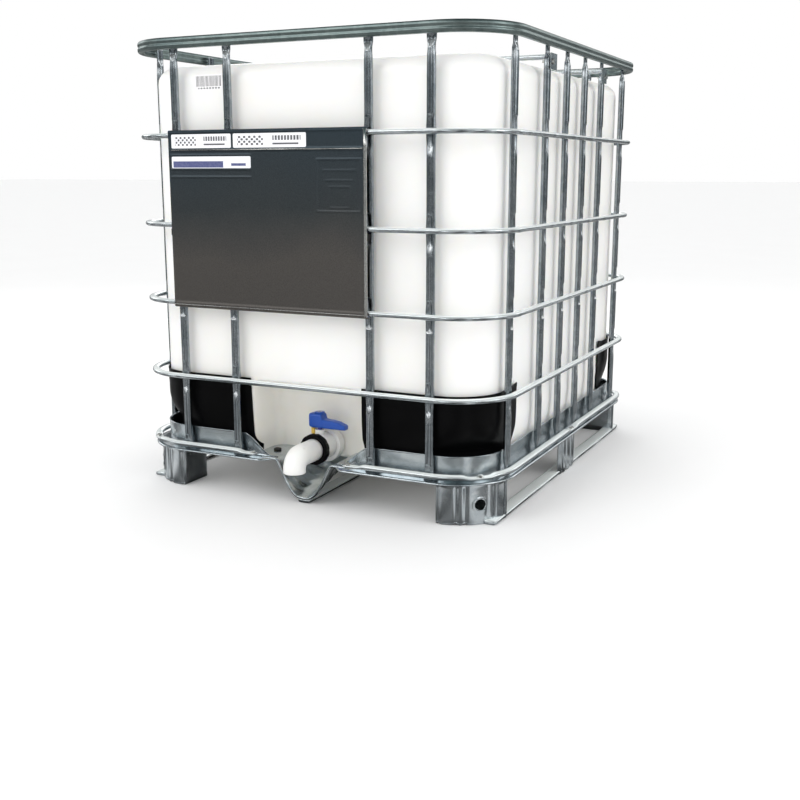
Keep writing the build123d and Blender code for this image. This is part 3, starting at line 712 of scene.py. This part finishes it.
def collar_section(x, y):
    """Section of flange and collar as (inset, height) in mm, dipping beside the spout."""
    high = collar_height(x, y)
    lean = dip = 0.0
    reach = 3
    if y < -HALF_D + 0.02 and abs(x) < 0.20:
        lean = 4 * (1 - smooth(88, 178, abs(x) / MM))
        dip = min(6.0, spout_depth(x, SPOUT_FRONT))
        reach += 26 * (1 - smooth(80, 118, abs(x) / MM))
    return [
        (reach, 97.5 - dip), (reach + 0.6, 96.6 - dip), (reach + 2.4, 98.8 - dip),
        (reach + 12, 100 - dip), (36 - lean, 100.0), (38, 103.0 + 0.05 * high),
        (38.4, PAN_TOP + 0.5 * high), (38.0, PAN_TOP + 0.93 * high),
        (36.6, PAN_TOP + 0.985 * high + 0.4), (37.4, PAN_TOP + high + 1.0),
        (39.2, PAN_TOP + high + 0.6), (40.2, PAN_TOP + 0.93 * high + 0.4),
        (40.4, PAN_TOP + 0.5 * high + 0.6), (40.4, 104 + 0.06 * high), (42, 102.2),
        (reach + 14, PAN_TOP - dip), (reach + 4, 101.6 - dip), (reach + 1, 100.4 - dip)]


def floor_height(x, y):
    """Height in mm of the pan floor: beads along it, and the ribbed spout at the front."""
    bead = 3.0 * gauss((abs(x) / MM % 92) - 46, 9) * smooth(-0.34, -0.30, y)
    dip = spout_depth(x, y) if abs(x) < SPOUT_HALF and y < -0.38 else 0.0
    wave = sin((y / MM + 0.35 * abs(x) / MM) / 5.2)
    rib = 1.6 * wave * smooth(12, 26, dip) * (1 - smooth(70, 84, dip)) * smooth(0.010, 0.026, abs(x))
    return 100 - dip - bead + rib


def make_pan():
    """Collar and outer flange as one swept sheet, the floor and spout as another."""
    rows = [[(x - nx * i * MM, y - ny * i * MM, z * MM) for i, z in collar_section(x, y)]
            for x, y, nx, ny, _ in open_at_front(cage_line(0.0, 3.0, 0.008), 80 * MM)]
    piece("pan_collar", loft(rows), sheet_zinc, "galvanised_sheet", "base_pan")

    half_w, half_d, corner = 0.458, 0.558, 0.105
    wide = [round(x, 4) for x in steps(-half_w, half_w, 30)]
    fine = {round(x, 4) for x in steps(-SPOUT_HALF, SPOUT_HALF, 84)}
    columns = sorted(fine.union(x for x in wide if abs(x) > SPOUT_HALF))
    levels = [round(y, 4) for y in steps(SPOUT_FRONT, -0.40, 60) + steps(-0.38, half_d, 32)]
    rows = [[(x, y, floor_height(x, y) * MM) for x in columns] for y in levels]
    for row in rows:
        for i, (x, y, z) in enumerate(row):
            dx = abs(x) - (half_w - corner)
            dy = abs(y) - (half_d - corner)
            if dx > 0 and dy > 0 and hypot(dx, dy) > corner:
                k = corner / hypot(dx, dy)
                row[i] = (copysign(half_w - corner + dx * k, x),
                          copysign(half_d - corner + dy * k, y), z)
    floor = sheet(rows, lambda c: Vector((0, 0, 1.6 * MM)))
    piece("pan_floor_and_spout", floor, sheet_zinc, "galvanised_sheet")

    lip = [(x, SPOUT_FRONT - 1.0 * MM, (101 - spout_depth(x, SPOUT_FRONT)) * MM)
           for x in steps(-0.118, 0.118, 90)]
    place(rod_along("pan_spout_lip", lip, 3.4 * MM, sheet_zinc), "galvanised_sheet")


def rod_along(name, path, radius, material, count=12):
    """Round rod along a list of points."""
    rows = []
    for i, point in enumerate(path):
        before = Vector(path[max(0, i - 1)])
        after = Vector(path[min(len(path) - 1, i + 1)])
        tangent = (after - before).normalized()
        across = Vector((0, 1, 0)) if abs(tangent.y) < 0.9 else Vector((1, 0, 0))
        side = tangent.cross(across).normalized()
        other = tangent.cross(side)
        rows.append([tuple(Vector(point) + side * radius * cos(a) + other * radius * sin(a))
                     for a in turn(count)])
    return make_object(name, *loft(rows), material)


# ---- feet and runners ----
FOOT_TOP = 98.0


def foot_sheet(name, points, grooves, holes=()):
    """Beaded foot wall: points are (x, y, nx, ny, s) along the wall, s in metres."""
    rows = []
    for z in steps(0.0, FOOT_TOP, 50):
        row = []
        for x, y, nx, ny, s in points:
            along = (s - points[0][4]) / MM
            near = min(abs(along - g) for g in grooves)
            fade = smooth(2, 12, z) * (1 - smooth(86, 97, z))
            push = -5.0 * gauss(near, 3.2) * (0.45 + 0.55 * fade)
            push += 1.8 * gauss(z - 94, 3.2) - 1.4 * gauss(z - 4, 4)
            for hole_s, hole_z, hole_r in holes:
                distance = hypot(along - hole_s, z - hole_z)
                push += 1.6 * gauss(distance - hole_r - 2.5, 2.4)
            notch = 4.0 * gauss(near, 5.0) * (1 - smooth(0, 14, z))
            row.append((x + nx * push * MM, y + ny * push * MM, (z + notch) * MM))
        rows.append(row)
    skin = sheet(rows, lambda c: Vector((-points[c][2], -points[c][3], 0)) * 1.8 * MM)
    return make_object(name, *skin, sheet_zinc)


def make_feet():
    """Four corner feet with a round hole, and one foot in the middle of each side."""
    line = outline_points(HALF_W - 15 * MM, HALF_D - 22 * MM, 133 * MM, 1.6, 0.003)
    for name, (sx, sy) in CORNERS.items():
        part = sorted((p for p in line if p[0] * sx > 0.350 and p[1] * sy > 0.467), key=lambda p: p[4])
        length = (part[-1][4] - part[0][4]) / MM
        grooves = [length / 2 + d for d in (-112, -88, -46, -24, 30, 52, 86, 110)]
        if sx * sy > 0:
            grooves = [length - g for g in grooves]
        corner_point = min(part, key=lambda p: abs(abs(p[2]) - abs(p[3])))
        hole_s = (corner_point[4] - part[0][4]) / MM
        obj = foot_sheet("beaded_foot_" + name, part, grooves, [(hole_s, 47, 13)])
        punch(obj, sx, sy)
        place(foot_back("foot_back_" + name, sx, sy), "galvanised_sheet")
        place(obj, "galvanised_sheet", "foot_" + name)
    for sx, name in ((1, "right"), (-1, "left")):
        part = [p for p in line if p[0] * sx > 0.45 and abs(p[1]) < 0.075]
        part.sort(key=lambda p: p[1] * sx)
        wall = []
        for x, y, nx, ny, _ in part:
            bulge = 6 * MM * (1 - smooth(0.045, 0.075, abs(y))) - 6 * MM
            wall.append((x + sx * bulge, y, nx, ny, y * sx))
        obj = foot_sheet("beaded_foot_mid_" + name, wall, (26, 56, 94, 124))
        place(obj, "galvanised_sheet", "foot_mid_" + name)


def foot_back(name, sx, sy):
    """Inner wall that closes a corner foot: two straight legs and a rounded inner corner."""
    near_x, near_y, bend = 0.353, 0.470, 0.014
    path = [(near_x, y, -1, 0) for y in steps(0.574, near_y + bend, 8)]
    for a in (radians(90 * i / 8) for i in range(1, 8)):
        path.append((near_x + bend * (1 - cos(a)), near_y + bend * (1 - sin(a)),
                     -cos(a), -sin(a)))
    path += [(x, near_y, 0, -1) for x in steps(near_x + bend, 0.481, 8)]
    rows = [[(x * sx, y * sy, (z + 0.4) * MM) for x, y, _, _ in path] for z in steps(0.0, FOOT_TOP, 8)]
    skin = sheet(rows, lambda c: Vector((-path[c][2] * sx, -path[c][3] * sy, 0)) * 1.6 * MM)
    return make_object(name, *skin, sheet_zinc)


def punch(obj, sx, sy):
    """Round hole through the corner of a foot."""
    centre = Vector((sx * (0.5 - 0.015 - 0.133), sy * (0.6 - 0.022 - 0.133), 0.047))
    direction = Vector((sx, sy, 0)).normalized()
    side = Vector((0, 0, 1)).cross(direction)
    rows = [[tuple(centre + direction * reach + side * 0.013 * cos(a) + Vector((0, 0, 0.013 * sin(a))))
             for a in turn(40)] for reach in (0.10, 0.16)]
    cut_with(obj, make_object("hole_cutter", *loft(rows), sheet_zinc))
    shade_smooth(obj)


def make_runners():
    """Flat tubes on the ground, narrower at the ends and slightly wavy."""
    for node in ("runner_right", "runner_left", "runner_centre"):
        low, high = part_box(node)
        x = (low[0] + high[0]) / 2
        half = (high[0] - low[0]) / 2
        rows = []
        for y in steps(low[1] + 0.002, high[1] - 0.002, 120):
            end = smooth(0.0, 0.02, min(y - low[1], high[1] - y))
            height = 5.6 * MM + 0.6 * MM * sin(y * 14)
            rows.append([(x + a * (0.9 + 0.1 * end), y, height + b)
                         for a, b in soft_box(half, 4.8 * MM, 0.5, 0.5, 20)])
        piece("tube_" + node, loft(rows), tube_zinc, "galvanised_tube", node)


# ---- guards ----
GUARD_FRONT = 0.151             # where the guards end beside the valve recess
GUARD_SIDE = 0.350
GUARD_TOE = 0.028               # rounded toe of the left front guard, in front of the recess


def guard_span(x, y, z_top, front_left):
    """Lowest and highest height of a guard at x, y in metres."""
    across, back = abs(x), abs(y)
    from_end = across - GUARD_FRONT if back > 0.50 else 9.0
    from_side = back - GUARD_SIDE if across > 0.40 else 9.0
    low = 0.120
    if front_left:
        high_here = z_top
        if from_end < 0:
            low = 0.106
            high_here = 0.130 + GUARD_TOE * (1 - sqrt(max(0.0, 1 - (1 + from_end / GUARD_TOE) ** 2)))
        return low, high_here
    low += 0.060 * (1 - min(1.0, from_end / 0.022)) ** 2 if from_end < 0.022 else 0.0
    low += 0.075 * (1 - min(1.0, from_side / 0.06)) ** 2 if from_side < 0.06 else 0.0
    return low, z_top


def make_guards():
    """Thin moulded corner guards: rounded in at the foot, with a lipped top."""
    line = outline_points(HALF_W - 40.8 * MM, HALF_D - 40.8 * MM, 114.2 * MM, 3.0, 0.002)
    for name, (sx, sy) in CORNERS.items():
        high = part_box("guard_" + name)[1]
        with_toe = name == "front_left"
        start = GUARD_FRONT - GUARD_TOE if with_toe else GUARD_FRONT
        part = [p for p in line if p[0] * sx > start and p[1] * sy > GUARD_SIDE]
        part.sort(key=lambda p: abs(p[0]) - abs(p[1]))
        rows = []
        for t in steps(0.0, 1.0, 46):
            row = []
            for x, y, nx, ny, _ in part:
                rise = 0.0
                if sy > 0:
                    rise += 0.007 * smooth(0.44, 0.58, abs(y)) * smooth(0.38, 0.46, abs(x))
                if abs(x) > 0.4:
                    rise += 0.005 * (1 - smooth(0.35, 0.40, abs(y)))
                low, top = guard_span(x, y, high[2] - 0.0105 + rise, with_toe)
                z = low + (top - low) * t
                ridge = 0.5 * gauss((z - 0.262) / MM, 3) + 0.8 * smooth(0.284, 0.292, z)
                push = ridge * MM - draw_in(x, y, z)
                row.append((x + nx * push, y + ny * push, z))
            rows.append(row)
        skin = sheet(rows, lambda c: Vector((-part[c][2], -part[c][3], 0)) * 2.2 * MM)
        piece("corner_guard_" + name, skin, black_plastic, "black_plastic", "guard_" + name)


# ---- label plate and labels ----
def plate_material():
    """Dark passivated steel: bluer and darker at the top, lighter warm grey towards the bottom, with a
    random drift, fine grain, soft reflections.
    """
    material, tree, shader = new_material("plate_dark_steel", (0.10, 0.11, 0.12), 0.4, 1.0)
    low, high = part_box("label_plate")
    downward = value_range(tree, axes(tree, "Object")["Z"], 0.0, 1.0, high[2], low[2])
    drift = times(tree, noise(tree, 2.5, 3.0), 0.5)
    tone = ramp(tree, maths(tree, "ADD", drift, downward), [
        (0.2, (0.055, 0.075, 0.09)), (0.7, (0.075, 0.085, 0.09)), (1.3, (0.15, 0.14, 0.13))])
    grain = noise(tree, 500.0, 3.0)
    speck = ramp(tree, grain, [(0.3, (0.75, 0.75, 0.78)), (0.7, (1.2, 1.2, 1.18))])
    rough = value_range(tree, grain, 0.34, 0.5)
    speckled = mix_colours(tree, 1.0, tone, speck, "MULTIPLY")
    finish_surface(tree, shader, speckled, grain, 0.15, 0.0004, rough)
    return material


def frame_relief(x, z, x_low, x_high, z_low, z_high, width):
    """Raised line round a rectangle, 1 on the line."""
    dx = max(x_low - x, x - x_high)
    dz = max(z_low - z, z - z_high)
    if dx <= 0 and dz <= 0:
        distance = -max(dx, dz)
    else:
        distance = hypot(max(dx, 0), max(dz, 0))
    return gauss(distance, width)


def plate_relief(x, z):
    """Relief of the label plate in mm at x, z in mm measured from its lower left corner."""
    panel = smooth(2, 6, x) * smooth(2, 6, 531 - x) * (1 - smooth(406, 409, z)) * smooth(8, 12, z)
    relief = -panel
    relief += 2.2 * gauss(z - 369, 2.2) * smooth(6, 10, x) * smooth(8, 14, 531 - x)
    relief += 1.0 * frame_relief(x, z, 405, 516, 232, 346, 1.6)
    relief += 0.7 * frame_relief(x, z, 436, 488, 240, 286, 1.3)
    relief += 0.7 * gauss(z - 300, 1.3) * smooth(425, 429, x) * (1 - smooth(494, 498, x))
    relief += 0.7 * gauss(z - 322, 1.3) * smooth(418, 422, x) * (1 - smooth(500, 504, x))
    holder = smooth(4, 7, x) * (1 - smooth(230, 233, x))
    for height, strength in ((307, 1.3), (325, 1.6), (357, 1.2)):
        relief += strength * gauss(z - height, 1.6) * holder
    return relief


def make_plate():
    """Pressed plate with its top and bottom rolled, and the bright hems and ridge on it."""
    low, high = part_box("label_plate")
    height, base_z = 411.0, 467.0
    face = -HALF_D - 1.7 * MM
    rows = [[(low[0] + x * MM, face - (plate_relief(x, z) + 1.0) * MM, (base_z + z) * MM)
             for x in steps(0.0, (high[0] - low[0]) / MM, 266)] for z in steps(0.0, height, 206)]
    body = sheet(rows, lambda c: Vector((0, 1.0 * MM, 0)))
    top = rolled_edge(low[0], high[0], face, (base_z + height) * MM, 1)
    bottom = rolled_edge(low[0], high[0], face, base_z * MM, -1)
    pressed = join_meshes([body, top, bottom])
    piece("label_plate_pressed", pressed, plate_material(), "plate_sheet", "label_plate")

    bright = rolled_edge(low[0], high[0], face - 0.4 * MM, (base_z + 4) * MM, -1, 3.4)
    hem = ((-5, 0), (-5, 1.6), (-2, 2.5), (2.6, 1.9), (3.4, 0), (0, -0.8))
    side = [[(high[0] - 3 * MM + dx * MM, face - 0.6 * MM - dy * MM, z * MM) for dx, dy in hem]
            for z in steps(base_z, base_z + height, 12)]
    ridge_y, ridge_z, ridge_r = face - 1.2 * MM, (base_z + 369) * MM, 1.5 * MM
    ridge = [[(x, ridge_y + ridge_r * cos(a), ridge_z + ridge_r * sin(a)) for a in turn(12)]
             for x in (low[0] + 8 * MM, high[0] - 9 * MM)]
    hems = join_meshes([bright, loft(side), loft(ridge)])
    piece("label_plate_hems", hems, bolt_zinc, "galvanised_tube")


def rolled_edge(x_low, x_high, y, z, sign, radius=5.5):
    """Hem that rolls back over a ring, as a closed strip along X; radius in mm."""
    outer, inner = [], []
    for a in (radians(90 * i / 8) for i in range(9)):
        back = y + radius * MM * (1 - cos(a))
        outer.append((back - 1 * MM, z + sign * radius * MM * sin(a) * 0.7))
        inner.append((back, z + sign * (radius - 1.2) * MM * sin(a) * 0.7 - sign * 0.4 * MM))
    outer.append((y + 14 * MM, z + sign * radius * 0.7 * MM))
    inner.append((y + 14 * MM, z + sign * (radius - 1.2) * 0.7 * MM))
    section = outer + inner[::-1]
    stations = (x_low, x_low + 0.002, (x_low + x_high) / 2, x_high - 0.002, x_high)
    return loft([[(x, *point) for point in section] for x in stations])


def label_material(name, paper, ink, kind):
    """Printed film with generic marks: bars, or blocks and lines that spell nothing."""
    material, tree, shader = new_material(name, paper, 0.42)
    x, _, z = axes(tree, "Generated")

    def over(value, low):
        return maths(tree, "GREATER_THAN", value, low)

    def wave(value, rate):
        return maths(tree, "SINE", times(tree, value, rate))

    def patch(x_low, x_high, z_low, z_high):
        return times(tree, between(tree, x, x_low, x_high), between(tree, z, z_low, z_high))

    def merge(first, second):
        return maths(tree, "MAXIMUM", first, second)

    if kind == "bars":
        bars = over(maths(tree, "ADD", wave(x, 131.0), wave(x, 223.0)), 0.05)
        dashes = over(wave(x, 60.0), -0.2)
        mask = merge(times(tree, bars, patch(0.05, 0.95, 0.22, 0.90)),
                     times(tree, dashes, patch(0.12, 0.9, 0.06, 0.15)))
    elif kind == "blocks":
        cells = over(times(tree, wave(x, 88.0), wave(z, 19.0)), 0.12)
        dots = over(wave(x, 150.0), -0.5)
        mask = merge(times(tree, cells, patch(0.06, 0.42, 0.16, 0.84)),
                     times(tree, dots, patch(0.55, 0.93, 0.5, 0.82)))
        mask = merge(mask, patch(0.55, 0.9, 0.2, 0.32))
    else:
        mask = merge(patch(0.02, 0.66, 0.06, 0.60), patch(0.76, 0.94, 0.2, 0.42))
    fibre = noise(tree, 260.0, 4.0)
    printed = times(tree, mask, value_range(tree, fibre, 0.82, 1.0))
    finish_surface(tree, shader, mix_colours(tree, printed, paper, ink), fibre, 0.08, 0.0003)
    return material


def film(name, node, lift, material):
    """Label film on a CAD label: rounded corners and a faintly lifted edge."""
    low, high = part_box(node)
    y = high[1] + lift
    cx, cz = (low[0] + high[0]) / 2, (low[2] + high[2]) / 2
    line = outline_points((high[0] - low[0]) / 2, (high[2] - low[2]) / 2, 3 * MM, 15, 0.01)
    front = [(cx + p[0], cz + p[1]) for p in line]
    rows = [[(x, y, z) for x, z in front], [(x, y - 0.35 * MM, z) for x, z in front],
            [(cx + (x - cx) * 0.995, y - 0.5 * MM, cz + (z - cz) * 0.99) for x, z in front]]
    piece(name, loft(rows), material, "label_paper", node, flat=True)


def make_labels():
    ink = (0.04, 0.04, 0.05)
    bars = label_material("label_bars", (0.93, 0.92, 0.93), ink, "bars")
    blocks = label_material("label_blocks", (0.90, 0.90, 0.93), ink, "blocks")
    strip = label_material("label_strip", (0.86, 0.88, 0.92), (0.012, 0.025, 0.17), "strip")
    for name, material in (("label_left", blocks), ("label_right", blocks), ("label_card", strip)):
        film(name, "plate_" + name, 0.1 * MM, material)
    film("label_bottle", "bottle_label", 0.6 * MM, bars)


# ---- valve ----
def make_handle():
    """Blue lever: rounded hub, waisted root, flat tapering blade."""
    low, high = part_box("valve_handle")
    cy = (low[1] + high[1]) / 2
    # along the lever: x in mm, share of full width, share of full height, lift in mm
    stations = ((-27, 0.2, 0.70, 0), (-26, 0.62, 0.86, 0), (-22, 0.90, 0.97, 0), (-14, 1.0, 1.0, 0),
                (0, 1.0, 1.0, 0), (8, 0.98, 1.0, 0), (11, 0.94, 0.97, -0.4), (13, 0.88, 0.66, -6.0),
                (17, 0.84, 0.60, -7.4), (36, 0.80, 0.59, -7.6), (50, 0.76, 0.55, -8.2),
                (62, 0.72, 0.43, -10.4), (71, 0.66, 0.34, -12.0), (74, 0.58, 0.30, -12.6),
                (75, 0.46, 0.24, -12.8))
    rows = []
    for x, wide, tall, lift in stations:
        section = soft_box(16.5 * MM * wide, 18.6 * MM * tall, 0.45, 0.4, 28)
        rows.append([(x * MM, cy + a, (189 + lift) * MM + b) for a, b in section])
    obj = make_object("lever_and_hub", *loft(rows), blue_plastic)
    soften = obj.modifiers.new("subdivide", "SUBSURF")
    soften.levels = 1
    soften.render_levels = 1
    place(obj, "blue_plastic", "valve_handle", body="valve_handle")
    low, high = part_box("valve_stem")
    profile = [(0.5, 207.2), (11, 207.2), (12.5, 208.0), (12.8, 209.0), (11.8, 210.2), (0.5, 210.6)]
    hub = turned(profile, 48, 0.0, (low[1] + high[1]) / 2)
    piece("hub_cap", hub, blue_plastic, "blue_plastic", body="valve_handle")


def make_union_nut():
    """Black ring nut: scalloped grip, chamfered face and a bore for the elbow."""
    low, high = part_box("union_nut")
    front, back = low[1] / MM, high[1] / MM
    profile = [(27.6, front + 0.6), (28.6, front), (35.5, front), (37.4, front + 1.0),
               (38.2, front + 2.6), (38.2, back - 2), (37.4, back - 0.4), (36.4, back),
               (33.4, back), (33.3, front + 3.7), (27.6, front + 3.7)]

    def grip(angle, radius):
        return 1.3 * abs(sin(angle * 6)) ** 0.6 - 0.9 if radius > 37 else 0.0

    nut = make_object("union_nut_grip", *turned_on_outlet(profile, 144, grip), black_plastic)
    add_bevel(nut, 0.4 * MM)
    place(nut, "black_plastic", "union_nut", body="union_nut")


def make_elbow():
    """White elbow with a straight root, a swept bend and a chamfered open mouth."""
    bend_y, bend_r, down = -585 * MM, 28 * MM, Vector((0, 0, -1))
    path = [(Vector((0, y * MM, VALVE_Z)), Vector((0, -1, 0)))
            for y in (-519, -530, -545, -560, -575, -584)]
    for a in (radians(5 * i) for i in range(1, 19)):
        centre = Vector((0, bend_y - bend_r * sin(a), VALVE_Z - bend_r * (1 - cos(a))))
        path.append((centre, Vector((0, -cos(a), -sin(a)))))
    mouth_y = bend_y - bend_r
    path += [(Vector((0, mouth_y, 0.0895)), down), (Vector((0, mouth_y, 0.087)), down)]
    sideways = Vector((1, 0, 0))

    def circle(centre, tangent, radius):
        up = sideways.cross(tangent)
        return [tuple(centre + sideways * radius * cos(a) + up * radius * sin(a))
                for a in turn(72)]

    mouth = Vector((0, mouth_y, 0.086))
    outer = [circle(c, t, 27 * MM) for c, t in path] + [circle(mouth, down, 26.2 * MM)]
    inner = [circle(c, t, 23.5 * MM) for c, t in path] + [circle(mouth, down, 24.2 * MM)]
    tube = loft(outer + inner[::-1], closed=True)
    piece("elbow_tube", tube, white_plastic, "white_plastic", "outlet_elbow", body="outlet_elbow")
    flange = [(26.5, -519), (32.4, -519), (33, -519.6), (33, -521.4), (32.4, -522), (26.5, -522)]
    piece("elbow_flange", turned_on_outlet(flange), white_plastic, "white_plastic", body="outlet_elbow")


def make_bolts():
    """Hexagon heads with washers on the flats of the base ring."""
    signs = (-1, 1)
    spots = [(sx * BOLT_CORNER[0], sy * BOLT_CORNER[1]) for sx in signs for sy in signs]
    spots += [(sx * BOLT_SIDE_X, 0.0) for sx in signs] + [(sx * 0.130, -BOLT_FRONT) for sx in signs]
    washer = [(0.5, 114.6), (8.0, 114.6), (8.4, 115.2), (8.0, 116.0), (0.5, 116.0)]
    head = [(0.5, 116), (5.6, 116), (6.0, 116.4), (6.0, 119.2), (5.2, 120.0), (0.5, 120.3)]
    parts = []
    for n, (x, y) in enumerate(spots):
        parts.append(turned(washer, 32, x, y))
        parts.append(turned(head, 6, x, y, radians(11 * n)))
    piece("bolt_heads", join_meshes(parts), bolt_zinc, "bolt_steel", "base_bolts", flat=True)


def make_plug():
    profile = [(0.5, 102.4), (9.0, 102.4), (10, 103.2), (10, 105.0),
               (8.6, 106.6), (5.0, 107.6), (0.5, 107.8)]
    piece("drain_plug", turned(profile, 40, -0.118, -0.500), rubber, "seal_rubber", "pan_plug")


def finish_cad_nodes():
    """Bevels and materials for the CAD nodes that stay in view."""
    looks = (
        (tube_zinc, 0.8, "cross_bar_front", "cross_bar_rear"),
        (sheet_zinc, 0.8, "foot_centre", "foot_rear_centre"),
        (bolt_zinc, 0.5, "cross_bar_screws"), (bolt_zinc, 0.4, "handle_screw"),
        (bolt_zinc, 0.2, "disc_pin"),
        (black_plastic, 1.2, "plate_clips", "fill_cap"), (black_plastic, 1.0, "vent_plug"),
        (rubber, 0.3, "cap_gasket", "vent_gasket", "valve_gasket", "seat_liner"),
        (rubber, 0.2, "stem_seal", "elbow_gasket"), (white_plastic, 0.8, "valve_body"),
        (white_plastic, 1.0, "valve_coupling_ring"), (white_plastic, 0.4, "valve_disc"),
        (stem_plastic, 0.4, "valve_stem"), (yellow_plastic, 1.2, "seal_clip"),
    )
    for material, width, *nodes in looks:
        for node in nodes:
            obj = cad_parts[node]
            obj.data.materials.clear()
            obj.data.materials.append(material)
            add_bevel(obj, width * MM)


# ---- studio ----
SKY = 1.10
FLOOR_TONE = 0.91
BACKDROP = SKY * FLOOR_TONE     # the floor far away is as bright as this


def grey(*stops):
    return [(position, (tone, tone, tone)) for position, tone in stops]


def make_world():
    """White surroundings, banded and striped only where they are mirrored in metal."""
    world = bpy.data.worlds.new("studio")
    bpy.context.scene.world = world
    world.use_nodes = True
    tree = world.node_tree
    tree.nodes.clear()
    path = tree.nodes.new("ShaderNodeLightPath")

    def background(strength):
        node = tree.nodes.new("ShaderNodeBackground")
        preset(node, Color=(1.0, 1.0, 1.0, 1), Strength=strength)
        return node

    def choose(ray, otherwise, chosen):
        node = tree.nodes.new("ShaderNodeMixShader")
        tree.links.new(path.outputs[ray], node.inputs["Fac"])
        tree.links.new(otherwise.outputs[0], node.inputs[1])
        tree.links.new(chosen.outputs[0], node.inputs[2])
        return node

    x, y, z = axes(tree, "Generated")
    bands = ramp(tree, value_range(tree, z, 0.0, 1.0, -1.0), [
        (0.0, (0.10, 0.10, 0.10)), (0.42, (0.05, 0.06, 0.06)), (0.50, (0.03, 0.04, 0.045)),
        (0.55, (0.16, 0.19, 0.20)), (0.62, (1.5, 1.5, 1.5)), (0.68, (1.1, 1.1, 1.1)),
        (0.76, (0.10, 0.14, 0.15)), (1.0, (0.04, 0.08, 0.08))])
    strip_tone = ramp(tree, strips(tree, x, y, 7), grey((0.25, 0.35), (0.6, 1.0), (0.85, 2.6)))
    mirror = background(1.0)
    tree.links.new(mix_colours(tree, 1.0, bands, strip_tone, "MULTIPLY"), mirror.inputs["Color"])
    surroundings = choose("Is Glossy Ray", background(SKY), mirror)
    seen = choose("Is Camera Ray", surroundings, background(BACKDROP))
    output = tree.nodes.new("ShaderNodeOutputWorld")
    tree.links.new(seen.outputs["Shader"], output.inputs["Surface"])


def make_floor():
    """Pale floor that is dark and striped only where it is mirrored in metal."""
    material, tree, shader = new_material("studio_floor", (0.90, 0.90, 0.90), 0.8)
    tone = ramp(tree, noise(tree, 2.0, 3.0), grey((0.3, 0.905), (0.7, 0.915)))
    path = tree.nodes.new("ShaderNodeLightPath")
    x, y, _ = axes(tree, "Object")
    dark = ramp(tree, strips(tree, x, y, 13), grey((0.2, 0.05), (0.5, 0.20), (0.85, 0.75)))
    seen_tone = mix_colours(tree, path.outputs["Is Glossy Ray"], tone, dark)
    tree.links.new(seen_tone, shader.inputs["Base Color"])
    half = 90.0
    skin = sheet([[(x, y, -0.0005) for x in (-half, 0, half)] for y in (-half, 0, half)],
                 lambda c: Vector((0, 0, -0.02)))
    make_object("studio_floor", *skin, material, flat=True)


def make_studio():
    make_world()
    make_floor()
    for name, location, target, size, energy in (
            ("key", (-1.6, -3.4, 3.0), (0, -0.2, 0.5), (2.2, 2.2), 34),
            ("side", (3.6, -0.6, 2.0), (0.3, 0.0, 0.5), (1.6, 2.4), 20),
            ("back", (-2.0, 3.0, 2.6), (0, 0.2, 0.6), (2.0, 2.0), 24)):
        data = bpy.data.lights.new(name, "AREA")
        data.shape = "RECTANGLE"
        data.size, data.size_y = size
        data.energy = energy
        light = bpy.data.objects.new(name, data)
        light.location = location
        light.rotation_euler = (Vector(target) - Vector(location)).to_track_quat("-Z", "Y").to_euler()
        bpy.context.scene.collection.objects.link(light)


def make_camera():
    """Camera at the viewing angle that was solved for the picture."""
    yaw, pitch = radians(25.95), radians(12.01)
    data = bpy.data.cameras.new("camera")
    data.sensor_width = 36.0
    data.lens = 48.18
    camera = bpy.data.objects.new("camera", data)
    bpy.context.scene.collection.objects.link(camera)
    forward = Vector((-sin(yaw) * cos(pitch), cos(yaw) * cos(pitch), -sin(pitch)))
    right = Vector((cos(yaw), sin(yaw), 0))
    up = right.cross(forward)
    camera.matrix_world = Matrix((
        (right.x, up.x, -forward.x, 1.300), (right.y, up.y, -forward.y, -2.711),
        (right.z, up.z, -forward.z, 0.785), (0, 0, 0, 1)))
    bpy.context.scene.camera = camera


make_rings()
make_rim()
make_base_ring()
make_uprights()
make_bottle()
make_pan()
make_feet()
make_runners()
make_guards()
make_plate()
make_labels()
make_handle()
make_union_nut()
make_elbow()
make_bolts()
make_plug()
finish_cad_nodes()
make_studio()
make_camera()
bpy.context.scene.view_settings.view_transform = "Standard"

bpy.context.view_layer.update()
